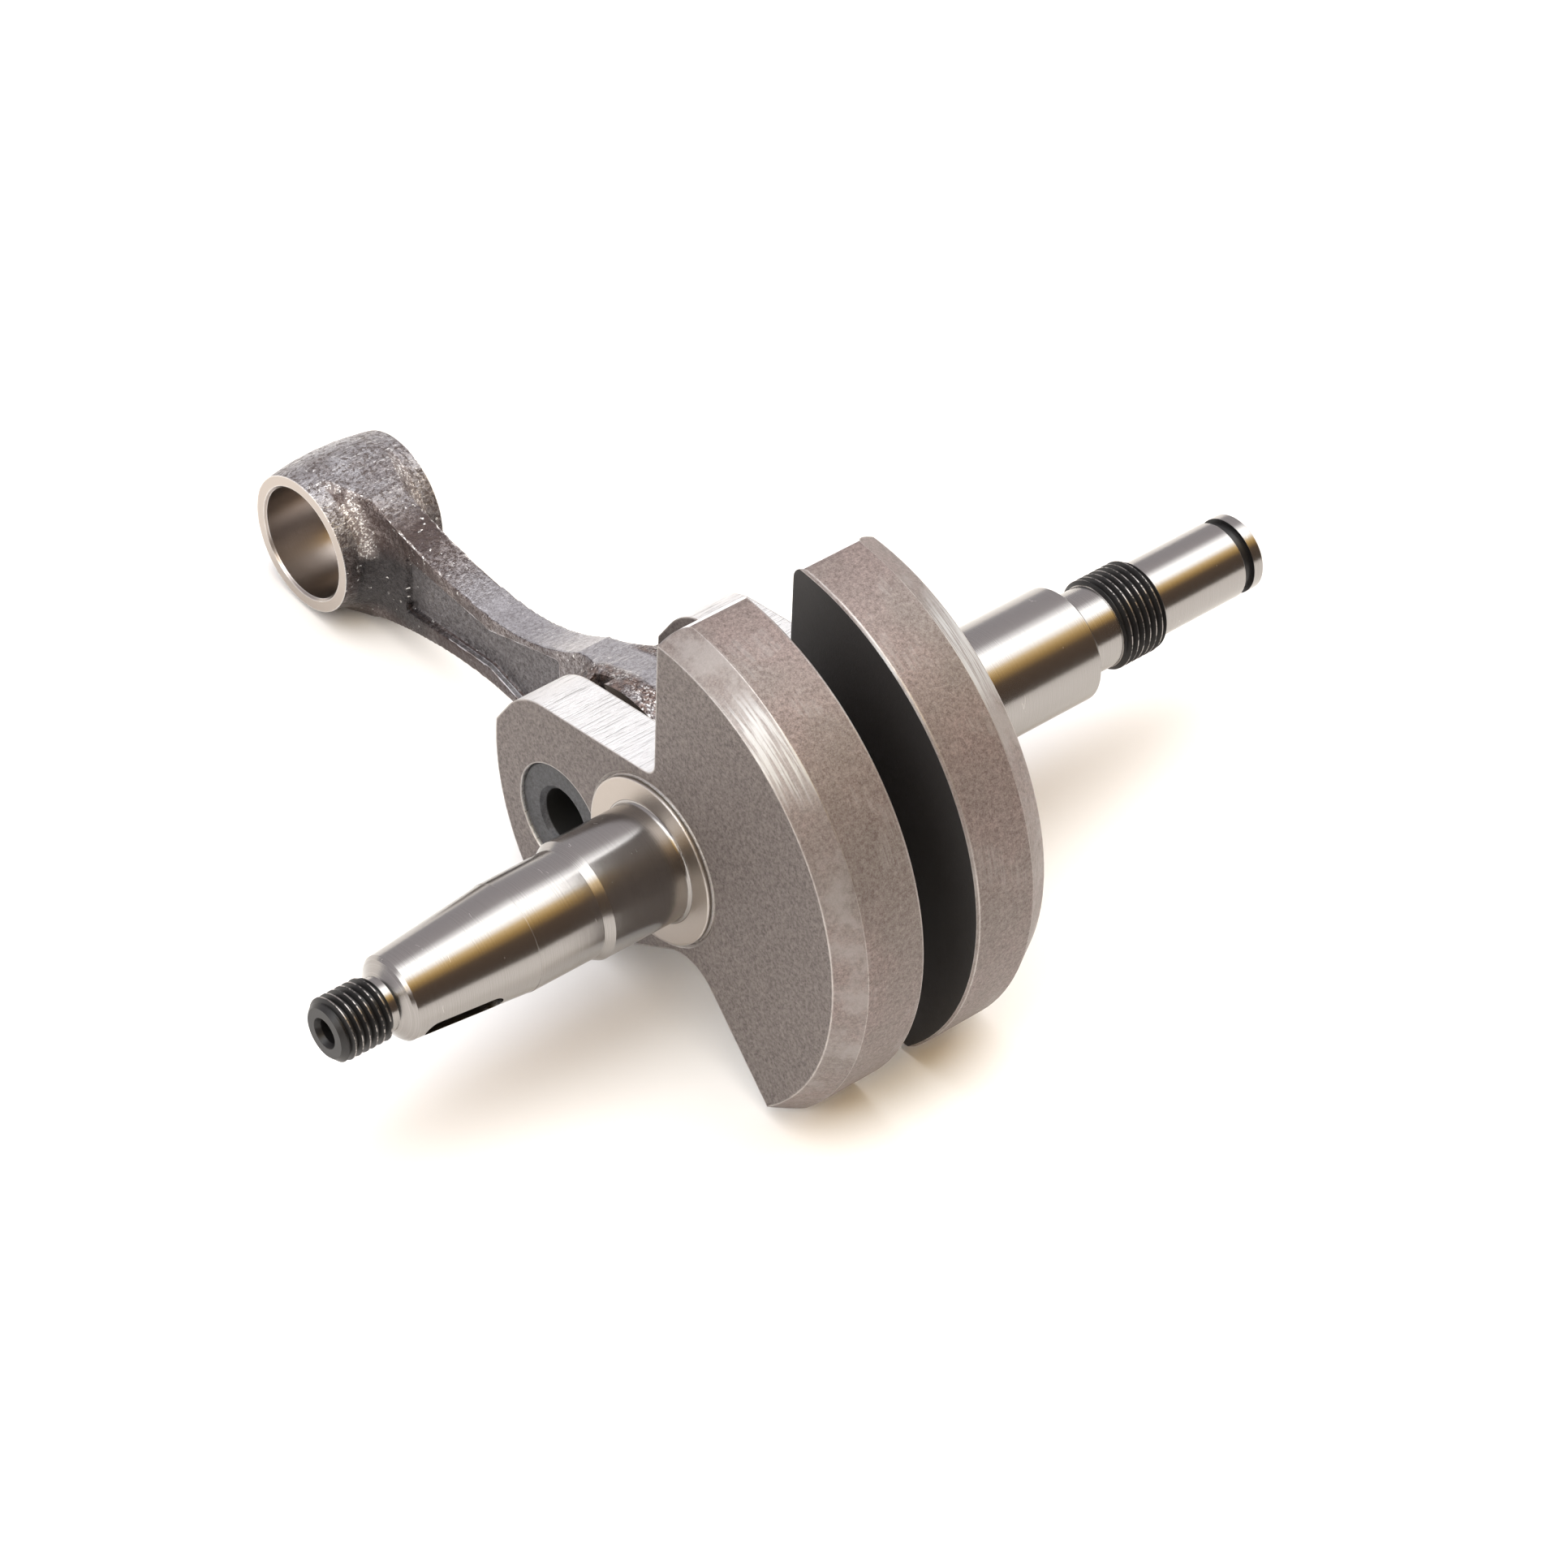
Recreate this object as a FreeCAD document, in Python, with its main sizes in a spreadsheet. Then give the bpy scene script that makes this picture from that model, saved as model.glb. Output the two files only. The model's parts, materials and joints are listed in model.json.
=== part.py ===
import FreeCAD, Part
import math
import os

import Sketcher

# A built-up crankshaft of a small two-stroke engine with its connecting rod. Two forged crank
# halves are pressed on a hollow crankpin. The rod turns on the pin in a caged needle bearing.
#
# Frame: +X runs along the crank axis from the flywheel end to the clutch end, +Z is up as the
# crank lies on a bench, and the origin is the middle of the flywheel side's main journal.
# Each body is drawn about the plane midway between the webs, with +Y from the crank axis to
# the crankpin (for the rod: from the crankpin to the small end). Its Placement sets it in place.

SIZES = {
    # Assembly
    "throw_length": 18.0,
    "crankpin_lean": -23.2,
    "rod_swing": 17.4,
    "origin_shift": 22.2,
    # Webs: the counterweight is thick, the lobe that holds the crankpin is thin
    "web_inner": 4.0,
    "lobe_inner": 8.7,
    "web_outer": 16.1,
    "rim_radius": 33.9,
    "lobe_radius": 29.3,
    "step_across": 0.75,
    "rim_chamfer_axial": 3.6,
    "rim_chamfer_radial": 2.1,
    "edge_break": 0.3,
    "top_rim_height": 32.2,
    "top_notch_out": -3.8,
    "top_notch_height": 11.85,
    "top_notch_fillet": 2.0,
    "lobe_knee_out": 20.6,
    "top_knee_height": 16.4,
    "lobe_knee_fillet": 9.0,
    "top_lobe_corner_height": 11.3,
    "base_rim_depth": 30.9,
    "base_notch_out": -4.3,
    "base_notch_depth": 11.05,
    "base_notch_fillet": 6.0,
    "base_knee_depth": 16.2,
    "base_lobe_corner_depth": 11.3,
    "rim_tip_fillet": 2.0,
    # Bearing shoulder and main journals
    "boss_radius": 10.7,
    "boss_proud": 0.6,
    "boss_groove_width": 0.45,
    "boss_groove_depth": 0.25,
    "journal_radius": 7.5,
    "journal_fillet": 0.5,
    "journal_chamfer": 0.35,
    # Flywheel side, measured from the middle plane
    "flywheel_journal_end": 27.7,
    "land_start": 28.8,
    "land_radius": 6.85,
    "taper_start": 38.0,
    "taper_big_radius": 6.8,
    "taper_end": 54.2,
    "taper_small_radius": 5.33,
    "taper_edge": 0.4,
    "flywheel_neck_start": 55.6,
    "flywheel_neck_radius": 3.4,
    "flywheel_thread_start": 56.6,
    "flywheel_thread_radius": 4.0,
    "flywheel_end": 63.6,
    "flywheel_end_chamfer": 0.85,
    "keyway_width": 3.0,
    "keyway_near": 42.6,
    "keyway_far": 53.0,
    "keyway_floor": 4.2,
    "keyway_angle": 227.5,
    # Clutch side
    "clutch_journal_end": 47.9,
    "clutch_neck_radius": 5.35,
    "clutch_neck_fillet": 1.2,
    "clutch_thread_start": 53.2,
    "clutch_thread_radius": 6.0,
    "clutch_thread_end": 60.3,
    "clutch_thread_chamfer": 0.5,
    "stub_radius": 5.0,
    "clip_groove_start": 74.1,
    "clip_groove_end": 75.6,
    "clip_groove_radius": 4.45,
    "clutch_end": 77.4,
    "stub_chamfer": 0.4,
    # Both threads and both centre drillings
    "thread_pitch": 1.0,
    "thread_depth": 0.6134,
    "centre_radius": 1.6,
    "centre_mouth_radius": 1.95,
    "centre_depth": 5.0,
    # Crankpin
    "pin_radius": 7.5,
    "pin_recess": 0.4,
    "pin_bore_radius": 3.8,
    "pin_mouth_radius": 4.4,
    # Connecting rod
    "rod_length": 62.2,
    "big_end_radius": 13.5,
    "big_end_width": 11.6,
    "big_bore_radius": 10.0,
    "small_end_width": 15.2,
    "small_bore_radius": 7.5,
    "barrel_face_radius": 9.2,
    "barrel_radius": 9.9,
    "shank_thickness": 5.0,
    "waist_out": 31.0,
    "waist_half": 5.05,
    "big_flare_radius": 32.0,
    "big_flare_out": 13.7,
    "small_flare_radius": 70.0,
    "small_flare_out": 54.6,
    "big_tangent_angle": 70.0,
    "small_tangent_angle": 101.0,
    "big_end_fillet": 3.2,
    "small_end_fillet": 4.3,
    "pocket_depth": 1.2,
    "pocket_big_out": 17.2,
    "pocket_big_half": 6.6,
    "pocket_waist_half": 2.9,
    "pocket_small_out": 47.5,
    "pocket_small_half": 4.1,
    "bore_chamfer": 0.3,
    "oil_slot_width": 4.0,
    "oil_slot_depth": 1.6,
    "oil_slot_angle": 62.0,
    # Big-end needle bearing
    "needle_count": 15,
    "needle_radius": 1.23,
    "needle_length": 11.0,
    "needle_end_radius": 0.25,
    "pitch_radius": 8.75,
    "cage_inner": 7.7,
    "cage_outer": 9.8,
    "cage_width": 14.6,
    "window_clearance": 0.07,
}

# Work lengths that only have to reach past the metal they cut
BEYOND = 3.0
THREAD_RUN_IN = 0.6
FLAT_CREST = 0.125
THREAD_SLOPE = math.tan(math.radians(30.0))

DOC = FreeCAD.newDocument("crankshaft")
SHEET = DOC.addObject("Spreadsheet::Sheet", "Sizes")
for row, (alias, number) in enumerate(SIZES.items(), start=1):
    SHEET.set(f"A{row}", alias)
    SHEET.set(f"B{row}", str(number))
    SHEET.setAlias(f"B{row}", alias)
DOC.recompute()


class Dim:
    """A length worked out from the sheet: its number and the expression that binds it."""

    def __init__(self, value, text):
        self.value = value
        self.text = text

    def __add__(self, other):
        other = as_dim(other)
        return Dim(self.value + other.value, f"({self.text} + {other.text})")

    def __sub__(self, other):
        other = as_dim(other)
        return Dim(self.value - other.value, f"({self.text} - {other.text})")

    def __mul__(self, other):
        other = as_dim(other)
        return Dim(self.value * other.value, f"({self.text} * {other.text})")

    def __truediv__(self, other):
        other = as_dim(other)
        return Dim(self.value / other.value, f"({self.text} / {other.text})")

    def __neg__(self):
        return self * -1.0


def as_dim(number):
    """Return a Dim as it is, and wrap a plain number."""
    if isinstance(number, Dim):
        return number
    return Dim(float(number), f"({number})")


def dim(alias):
    """The sheet's cell with this alias."""
    return Dim(float(SIZES[alias]), f"Sizes.{alias}")


def cosine(angle):
    return Dim(math.cos(math.radians(angle.value)), f"cos({angle.text} * 1 deg)")


def sine(angle):
    return Dim(math.sin(math.radians(angle.value)), f"sin({angle.text} * 1 deg)")


def root(inside):
    return Dim(math.sqrt(inside.value), f"sqrt({inside.text})")


def origin_part(body, role):
    """The body's own origin plane or axis with this role."""
    for feature in body.Origin.OriginFeatures:
        if feature.Role == role:
            return feature
    raise ValueError(role)


def new_body(name):
    body = DOC.addObject("PartDesign::Body", name)
    body.Label = name
    return body


def new_sketch(body, name, role, offset=None, axis_shift=None):
    """A sketch on one of the body's planes, moved along its normal or along its own Y."""
    sketch = body.newObject("Sketcher::SketchObject", name)
    sketch.AttachmentSupport = [(origin_part(body, role), "")]
    sketch.MapMode = "FlatFace"
    if offset is not None:
        sketch.setExpression("AttachmentOffset.Base.z", as_dim(offset).text)
    if axis_shift is not None:
        sketch.setExpression("AttachmentOffset.Base.y", as_dim(axis_shift).text)
    return sketch


def pin_point(sketch, geometry, end, x, y):
    """Hold a point at the place that two Dims give; None leaves that direction free."""
    for kind, distance, axis in (("DistanceX", x, -2), ("DistanceY", y, -1)):
        if distance is None:
            continue
        if abs(distance.value) < 1e-9:
            sketch.addConstraint(Sketcher.Constraint("PointOnObject", geometry, end, axis))
            continue
        constraint = Sketcher.Constraint(kind, -1, 1, geometry, end, distance.value)
        number = sketch.addConstraint(constraint)
        sketch.setExpression(f"Constraints[{number}]", distance.text)


def draw_polygon(sketch, points):
    """A closed polygon whose corners are pairs of Dims, each bound to the sheet."""
    first = sketch.GeometryCount
    count = len(points)
    places = [FreeCAD.Vector(x.value, y.value, 0) for x, y in points]
    for index in range(count):
        line = Part.LineSegment(places[index], places[(index + 1) % count])
        sketch.addGeometry(line, False)
    for index in range(count):
        here = first + index
        after = first + (index + 1) % count
        sketch.addConstraint(Sketcher.Constraint("Coincident", here, 2, after, 1))
    for index, (x, y) in enumerate(points):
        pin_point(sketch, first + index, 1, x, y)


def draw_circle(sketch, x, y, radius):
    """A full circle about a point given by two Dims."""
    centre = FreeCAD.Vector(x.value, y.value, 0)
    up = FreeCAD.Vector(0, 0, 1)
    number = sketch.addGeometry(Part.Circle(centre, up, radius.value), False)
    pin_point(sketch, number, 3, x, y)
    constraint = sketch.addConstraint(Sketcher.Constraint("Radius", number, radius.value))
    sketch.setExpression(f"Constraints[{constraint}]", radius.text)


def draw_outline(sketch, pieces):
    """A closed outline of straight pieces and arcs.

    Each piece is (start x, start y, arc, free). arc is None for a straight piece, or
    (centre x, centre y, radius, turns left). free is "x" or "y" for a coordinate of the start
    that its arc settles, and "" where both are held.
    """
    count = len(pieces)
    starts = [FreeCAD.Vector(piece[0].value, piece[1].value, 0) for piece in pieces]
    first = sketch.GeometryCount
    for index, (_, _, arc, _) in enumerate(pieces):
        begin = starts[index]
        finish = starts[(index + 1) % count]
        if arc is None:
            sketch.addGeometry(Part.LineSegment(begin, finish), False)
            continue
        centre_x, centre_y, radius, turns_left = arc
        centre = FreeCAD.Vector(centre_x.value, centre_y.value, 0)
        angles = [math.atan2(p.y - centre.y, p.x - centre.x) for p in (begin, finish)]
        if not turns_left:
            angles.reverse()
        circle = Part.Circle(centre, FreeCAD.Vector(0, 0, 1), radius.value)
        sketch.addGeometry(Part.ArcOfCircle(circle, angles[0], angles[1]), False)
    ends = []
    for _, _, arc, _ in pieces:
        ends.append((2, 1) if arc is not None and not arc[3] else (1, 2))
    for index in range(count):
        after = (index + 1) % count
        joint = (first + index, ends[index][1], first + after, ends[after][0])
        sketch.addConstraint(Sketcher.Constraint("Coincident", *joint))
    for index, (x, y, arc, free) in enumerate(pieces):
        held_x = None if free == "x" else x
        held_y = None if free == "y" else y
        pin_point(sketch, first + index, ends[index][0], held_x, held_y)
        if arc is None:
            continue
        centre_x, centre_y, radius, _ = arc
        if free:
            pin_point(sketch, first + index, 3, centre_x, centre_y)
        number = sketch.addConstraint(Sketcher.Constraint("Radius", first + index, radius.value))
        sketch.setExpression(f"Constraints[{number}]", radius.text)


def pad(body, name, sketch, length):
    """Pad a sketch along its plane's normal."""
    feature = body.newObject("PartDesign::Pad", name)
    feature.Profile = sketch
    feature.setExpression("Length", as_dim(length).text)
    DOC.recompute()
    return feature


def cut(body, kind, name, sketch, length=None, along_normal=False):
    """Pocket or groove a sketch, and make sure that it takes metal away."""
    before = body.Shape.Volume
    feature = body.newObject(f"PartDesign::{kind}", name)
    feature.Profile = sketch
    if kind == "Groove":
        feature.ReferenceAxis = (sketch, ["H_Axis"])
        feature.Angle = 360.0
    elif length is None:
        feature.Type = "ThroughAll"
    else:
        feature.setExpression("Length", as_dim(length).text)
    if along_normal:
        feature.Reversed = True
    DOC.recompute()
    if not body.Shape.Volume < before - 1e-3:
        raise RuntimeError(f"{name} takes nothing away")
    return feature


def revolve(body, name, sketch):
    """Turn a half section about the sketch's own horizontal axis."""
    feature = body.newObject("PartDesign::Revolution", name)
    feature.Profile = sketch
    feature.ReferenceAxis = (sketch, ["H_Axis"])
    feature.Angle = 360.0
    DOC.recompute()
    return feature


def edges_along_x(shape, out, height):
    """Names of the straight edges parallel to X that pass through this point."""
    names = []
    for number, edge in enumerate(shape.Edges, start=1):
        ends = [vertex.Point for vertex in edge.Vertexes]
        if len(ends) != 2 or not isinstance(edge.Curve, Part.Line):
            continue
        near = all(math.hypot(p.y - out, p.z - height) < 0.02 for p in ends)
        if near:
            names.append(f"Edge{number}")
    return names


def edges_round_x(shape, place, radius):
    """Names of the circular edges about the crank axis at this place and radius."""
    names = []
    for number, edge in enumerate(shape.Edges, start=1):
        if not isinstance(edge.Curve, Part.Circle):
            continue
        centre = edge.Curve.Center
        on_axis = math.hypot(centre.y, centre.z) < 0.02
        if on_axis and abs(centre.x - place) < 0.02 and abs(edge.Curve.Radius - radius) < 0.02:
            names.append(f"Edge{number}")
    return names


def fillet(body, name, edge_names, radius):
    if not edge_names:
        raise RuntimeError(f"{name} finds no edge")
    base = body.Tip
    feature = body.newObject("PartDesign::Fillet", name)
    feature.Base = (base, edge_names)
    feature.setExpression("Radius", radius.text)
    DOC.recompute()
    return feature


def notch_line_height(out, notch_out, notch_height, knee_out, knee_height):
    """Height of the lobe's edge, from the notch to the knee, at a distance from the axis."""
    rise = (knee_height - notch_height) / (knee_out - notch_out)
    return notch_height + (out - notch_out) * rise


def rim_out(radius, height):
    """How far out the point of a rim circle at this height is."""
    return root(radius * radius - height * height)


def web_corners():
    """The corner points of the web, the same for both halves."""
    notch_top = (dim("top_notch_out"), dim("top_notch_height"))
    notch_base = (dim("base_notch_out"), -dim("base_notch_depth"))
    knee_top = (dim("lobe_knee_out"), dim("top_knee_height"))
    knee_base = (dim("lobe_knee_out"), -dim("base_knee_depth"))
    return notch_top, notch_base, knee_top, knee_base


def draw_web(sketch, whole):
    """The web's outline: all of it, or only the counterweight's side of the step."""
    notch_top, notch_base, knee_top, knee_base = web_corners()
    zero = as_dim(0.0)
    rim = dim("rim_radius")
    top = dim("top_rim_height")
    base = -dim("base_rim_depth")
    rim_arc = (zero, zero, rim, True)
    pieces = [
        (-rim_out(rim, top), top, rim_arc, "x"),
        (-rim_out(rim, base), base, None, "x"),
        (*notch_base, None, ""),
    ]
    if whole:
        lobe = dim("lobe_radius")
        corner_base = -dim("base_lobe_corner_depth")
        corner_top = dim("top_lobe_corner_height")
        pieces += [
            (*knee_base, None, ""),
            (rim_out(lobe, corner_base), corner_base, (zero, zero, lobe, True), "x"),
            (rim_out(lobe, corner_top), corner_top, None, "x"),
            (*knee_top, None, ""),
        ]
    else:
        step = dim("step_across")
        pieces += [
            (step, notch_line_height(step, *notch_base, *knee_base), None, ""),
            (step, notch_line_height(step, *notch_top, *knee_top), None, ""),
        ]
    pieces.append((*notch_top, None, ""))
    draw_outline(sketch, pieces)


def add_webs(body, side):
    """The thick counterweight and the thin crankpin lobe of one half; side is -1 or +1."""
    lobe_depth = dim("web_outer") - dim("lobe_inner")
    step_depth = dim("lobe_inner") - dim("web_inner")
    lobe_start = dim("lobe_inner") if side > 0 else -dim("web_outer")
    step_start = dim("web_inner") if side > 0 else -dim("lobe_inner")
    outline = new_sketch(body, "web_outline", "YZ_Plane", offset=lobe_start)
    draw_web(outline, whole=True)
    pad(body, "web", outline, lobe_depth)
    outline = new_sketch(body, "counterweight_outline", "YZ_Plane", offset=step_start)
    draw_web(outline, whole=False)
    pad(body, "counterweight", outline, step_depth)

    notch_top, notch_base, knee_top, knee_base = web_corners()
    rim = dim("rim_radius")
    top = dim("top_rim_height")
    base = -dim("base_rim_depth")
    for name, corner, radius in (
        ("notch_top_fillet", notch_top, "top_notch_fillet"),
        ("notch_base_fillet", notch_base, "base_notch_fillet"),
        ("knee_top_fillet", knee_top, "lobe_knee_fillet"),
        ("knee_base_fillet", knee_base, "lobe_knee_fillet"),
        ("rim_tip_top_fillet", (-rim_out(rim, top), top), "rim_tip_fillet"),
        ("rim_tip_base_fillet", (-rim_out(rim, base), base), "rim_tip_fillet"),
    ):
        edges = edges_along_x(body.Shape, corner[0].value, corner[1].value)
        fillet(body, name, edges, dim(radius))

    outer = dim("web_outer") * side
    axial = dim("rim_chamfer_axial") * side
    radial = dim("rim_chamfer_radial")
    section = new_sketch(body, "rim_chamfer_section", "XY_Plane")
    past = 0.25
    draw_polygon(section, [
        (outer - axial * (1 + past), rim + radial * past),
        (outer + axial * past, rim - radial * (1 + past)),
        (outer + axial * past, rim + BEYOND),
        (outer - axial * (1 + past), rim + BEYOND),
    ])
    cut(body, "Groove", "rim_chamfer", section)

    inner = dim("web_inner") * side
    small = dim("edge_break")
    section = new_sketch(body, "inner_edge_section", "XY_Plane")
    draw_polygon(section, [
        (inner - small * side, rim - small * 2),
        (inner + small * (2 * side), rim + small),
        (inner - small * side, rim + small),
    ])
    cut(body, "Groove", "inner_edge_break", section)

    section = new_sketch(body, "boss_groove_section", "XY_Plane")
    boss = dim("boss_radius")
    draw_polygon(section, [
        (outer - dim("boss_groove_depth") * side, boss),
        (outer - dim("boss_groove_depth") * side, boss + dim("boss_groove_width")),
        (outer + dim("boss_proud") * side, boss + dim("boss_groove_width")),
        (outer + dim("boss_proud") * side, boss),
    ])
    cut(body, "Groove", "boss_groove", section)


def centre_drilling(end, side):
    """Half section of a centre drilling, from its tip to its mouth."""
    tip = dim("centre_depth") + dim("centre_radius")
    mouth = (dim("centre_mouth_radius") - dim("centre_radius")) * 2
    return [
        (end - tip * side, as_dim(0.0)),
        (end - dim("centre_depth") * side, dim("centre_radius")),
        (end - mouth * side, dim("centre_radius")),
        (end, dim("centre_mouth_radius")),
    ]


def shoulder_start(side):
    """Half section's first points: inside the web, then the bearing shoulder."""
    inside = dim("lobe_inner") + (dim("web_outer") - dim("lobe_inner")) / 2
    face = dim("web_outer") + dim("boss_proud")
    return [
        (inside * side, as_dim(0.0)),
        (inside * side, dim("boss_radius")),
        (face * side, dim("boss_radius")),
        (face * side, dim("journal_radius")),
    ]


def flywheel_section():
    """Journal, land, taper, neck and threaded end, as (place, radius) with places below zero."""
    end = -dim("flywheel_end")
    chamfer = dim("flywheel_end_chamfer")
    thread = dim("flywheel_thread_radius")
    edge = dim("taper_edge")
    neck = dim("flywheel_neck_radius")
    points = shoulder_start(-1) + [
        (-dim("flywheel_journal_end"), dim("journal_radius")),
        (-dim("land_start"), dim("land_radius")),
        (-dim("taper_start"), dim("land_radius")),
        (-dim("taper_start"), dim("taper_big_radius")),
        (-dim("taper_end"), dim("taper_small_radius")),
        (-dim("taper_end") - edge, dim("taper_small_radius") - edge),
        (-dim("flywheel_neck_start"), neck),
        (-dim("flywheel_thread_start"), neck),
        (-dim("flywheel_thread_start") - (thread - neck) / 2, thread),
        (end + chamfer, thread),
        (end, thread - chamfer),
    ]
    return points + centre_drilling(end, -1)[::-1]


def clutch_section():
    """Long journal, neck, threaded collar, stub, clip groove and end, with places above zero."""
    end = dim("clutch_end")
    small = dim("journal_chamfer")
    journal = dim("journal_radius")
    journal_end = dim("clutch_journal_end")
    neck = dim("clutch_neck_radius")
    thread = dim("clutch_thread_radius")
    start = dim("clutch_thread_start")
    chamfer = dim("clutch_thread_chamfer")
    stub = dim("stub_radius")
    edge = dim("stub_chamfer")
    groove = dim("clip_groove_radius")
    points = shoulder_start(1) + [
        (journal_end - small, journal),
        (journal_end, journal - small),
        (journal_end, neck),
        (start, neck),
        (start + (thread - neck) / 2, thread),
        (dim("clutch_thread_end") - chamfer, thread),
        (dim("clutch_thread_end"), thread - chamfer),
        (dim("clutch_thread_end"), stub),
        (dim("clip_groove_start"), stub),
        (dim("clip_groove_start"), groove),
        (dim("clip_groove_end"), groove),
        (dim("clip_groove_end"), stub),
        (end - edge, stub),
        (end, stub - edge),
    ]
    return points + centre_drilling(end, 1)[::-1]


def add_thread(body, name, start, length, radius, left_handed):
    """Cut a sixty-degree thread that runs out past both ends of its collar."""
    pitch = dim("thread_pitch")
    depth = dim("thread_depth")
    proud = 0.05
    crest = pitch * (0.5 - FLAT_CREST / 2)
    section = new_sketch(body, f"{name}_section", "XY_Plane")
    mouth = crest + THREAD_SLOPE * proud
    floor = crest - depth * THREAD_SLOPE
    draw_polygon(section, [
        (start - mouth, radius + proud),
        (start - floor, radius - depth),
        (start + floor, radius - depth),
        (start + mouth, radius + proud),
    ])
    before = body.Shape.Volume
    helix = body.newObject("PartDesign::SubtractiveHelix", name)
    helix.Profile = section
    helix.ReferenceAxis = (section, ["H_Axis"])
    helix.Mode = "pitch-height-angle"
    helix.LeftHanded = left_handed
    helix.setExpression("Pitch", pitch.text)
    helix.setExpression("Height", as_dim(length).text)
    DOC.recompute()
    if not body.Shape.Volume < before - 1e-3:
        raise RuntimeError(f"{name} takes nothing away")


def add_crankpin_hole(body, side):
    """The hole that the crankpin is pressed into."""
    start = as_dim(0.0) if side < 0 else dim("web_outer") + BEYOND
    section = new_sketch(body, "crankpin_hole_section", "YZ_Plane", offset=start)
    draw_circle(section, dim("throw_length"), as_dim(0.0), dim("pin_radius"))
    cut(body, "Pocket", "crankpin_hole", section)


def add_keyway(body):
    """The taper's keyway: a flat-floored slot with round ends, cut outwards from its floor."""
    angle = dim("keyway_angle") - 90.0
    floor = dim("keyway_floor")
    section = body.newObject("Sketcher::SketchObject", "keyway_outline")
    section.AttachmentSupport = [(origin_part(body, "XY_Plane"), "")]
    section.MapMode = "FlatFace"
    turn = FreeCAD.Rotation(FreeCAD.Vector(1, 0, 0), angle.value)
    reach = turn.multVec(FreeCAD.Vector(0, 0, floor.value))
    section.AttachmentOffset = FreeCAD.Placement(reach, turn)
    half = dim("keyway_width") / 2
    near = -dim("keyway_near")
    far = -dim("keyway_far")
    zero = as_dim(0.0)
    draw_outline(section, [
        (near - half, half, None, "y"),
        (far + half, half, (far + half, zero, half, True), "y"),
        (far + half, -half, None, "y"),
        (near - half, -half, (near - half, zero, half, True), "y"),
    ])
    cut(body, "Pocket", "keyway", section, length=BEYOND, along_normal=True)


def crank_half(name, side, section_points):
    """One forged half: webs, shaft, crankpin hole and the journal's root fillet."""
    body = new_body(name)
    add_webs(body, side)
    section = new_sketch(body, "shaft_section", "XY_Plane")
    draw_polygon(section, section_points)
    revolve(body, "shaft", section)
    add_crankpin_hole(body, side)
    face = (dim("web_outer") + dim("boss_proud")) * side
    edges = edges_round_x(body.Shape, face.value, dim("journal_radius").value)
    fillet(body, "journal_root", edges, dim("journal_fillet"))
    return body


def flywheel_half():
    body = crank_half("flywheel_crank_half", -1, flywheel_section())
    add_keyway(body)
    length = dim("flywheel_end") - dim("flywheel_thread_start") + 2 * THREAD_RUN_IN
    start = -dim("flywheel_end") - THREAD_RUN_IN
    radius = dim("flywheel_thread_radius")
    add_thread(body, "flywheel_thread", start, length, radius, left_handed=False)
    return body


def clutch_half():
    body = crank_half("clutch_crank_half", 1, clutch_section())
    journal_end = dim("clutch_journal_end").value
    edges = edges_round_x(body.Shape, journal_end, dim("clutch_neck_radius").value)
    fillet(body, "neck_root", edges, dim("clutch_neck_fillet"))
    length = dim("clutch_thread_end") - dim("clutch_thread_start")
    start = dim("clutch_thread_start")
    radius = dim("clutch_thread_radius")
    add_thread(body, "clutch_thread", start, length, radius, left_handed=True)
    return body


def crankpin():
    """The hollow pin, with a small countersink at both ends of its bore."""
    body = new_body("crankpin")
    end = dim("web_outer") - dim("pin_recess")
    bore = dim("pin_bore_radius")
    mouth = dim("pin_mouth_radius")
    edge = dim("edge_break")
    radius = dim("pin_radius")
    section = new_sketch(body, "crankpin_section", "XY_Plane")
    draw_polygon(section, [
        (-end + (mouth - bore), bore),
        (-end, mouth),
        (-end, radius - edge),
        (-end + edge, radius),
        (end - edge, radius),
        (end, radius - edge),
        (end, mouth),
        (end - (mouth - bore), bore),
    ])
    revolve(body, "crankpin_tube", section)
    return body


def add_shank(body):
    """The rod's shank: two hollow sweeps each side of the waist, running on to both ends."""
    waist = dim("waist_out")
    half = dim("waist_half")
    big = dim("big_flare_radius")
    small = dim("small_flare_radius")
    big_out = dim("big_flare_out")
    small_out = dim("small_flare_out")
    big_run = waist - big_out
    small_run = small_out - waist
    big_half = half + big - root(big * big - big_run * big_run)
    small_half = half + small - root(small * small - small_run * small_run)
    ring = dim("big_end_radius")
    barrel = dim("barrel_radius")
    start_out = ring * cosine(dim("big_tangent_angle"))
    start_half = ring * sine(dim("big_tangent_angle"))
    end_out = dim("rod_length") + barrel * cosine(dim("small_tangent_angle"))
    end_half = barrel * sine(dim("small_tangent_angle"))
    width = dim("small_end_width")
    outline = new_sketch(body, "shank_outline", "YZ_Plane", offset=-width / 2)
    draw_outline(outline, [
        (start_out, -start_half, None, ""),
        (big_out, -big_half, (waist, -(half + big), big, False), ""),
        (waist, -half, (waist, -(half + small), small, False), ""),
        (small_out, -small_half, None, ""),
        (end_out, -end_half, None, ""),
        (end_out, end_half, None, ""),
        (small_out, small_half, (waist, half + small, small, False), ""),
        (waist, half, (waist, half + big, big, False), ""),
        (big_out, big_half, None, ""),
        (start_out, start_half, None, ""),
    ])
    pad(body, "shank", outline, width)


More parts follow.
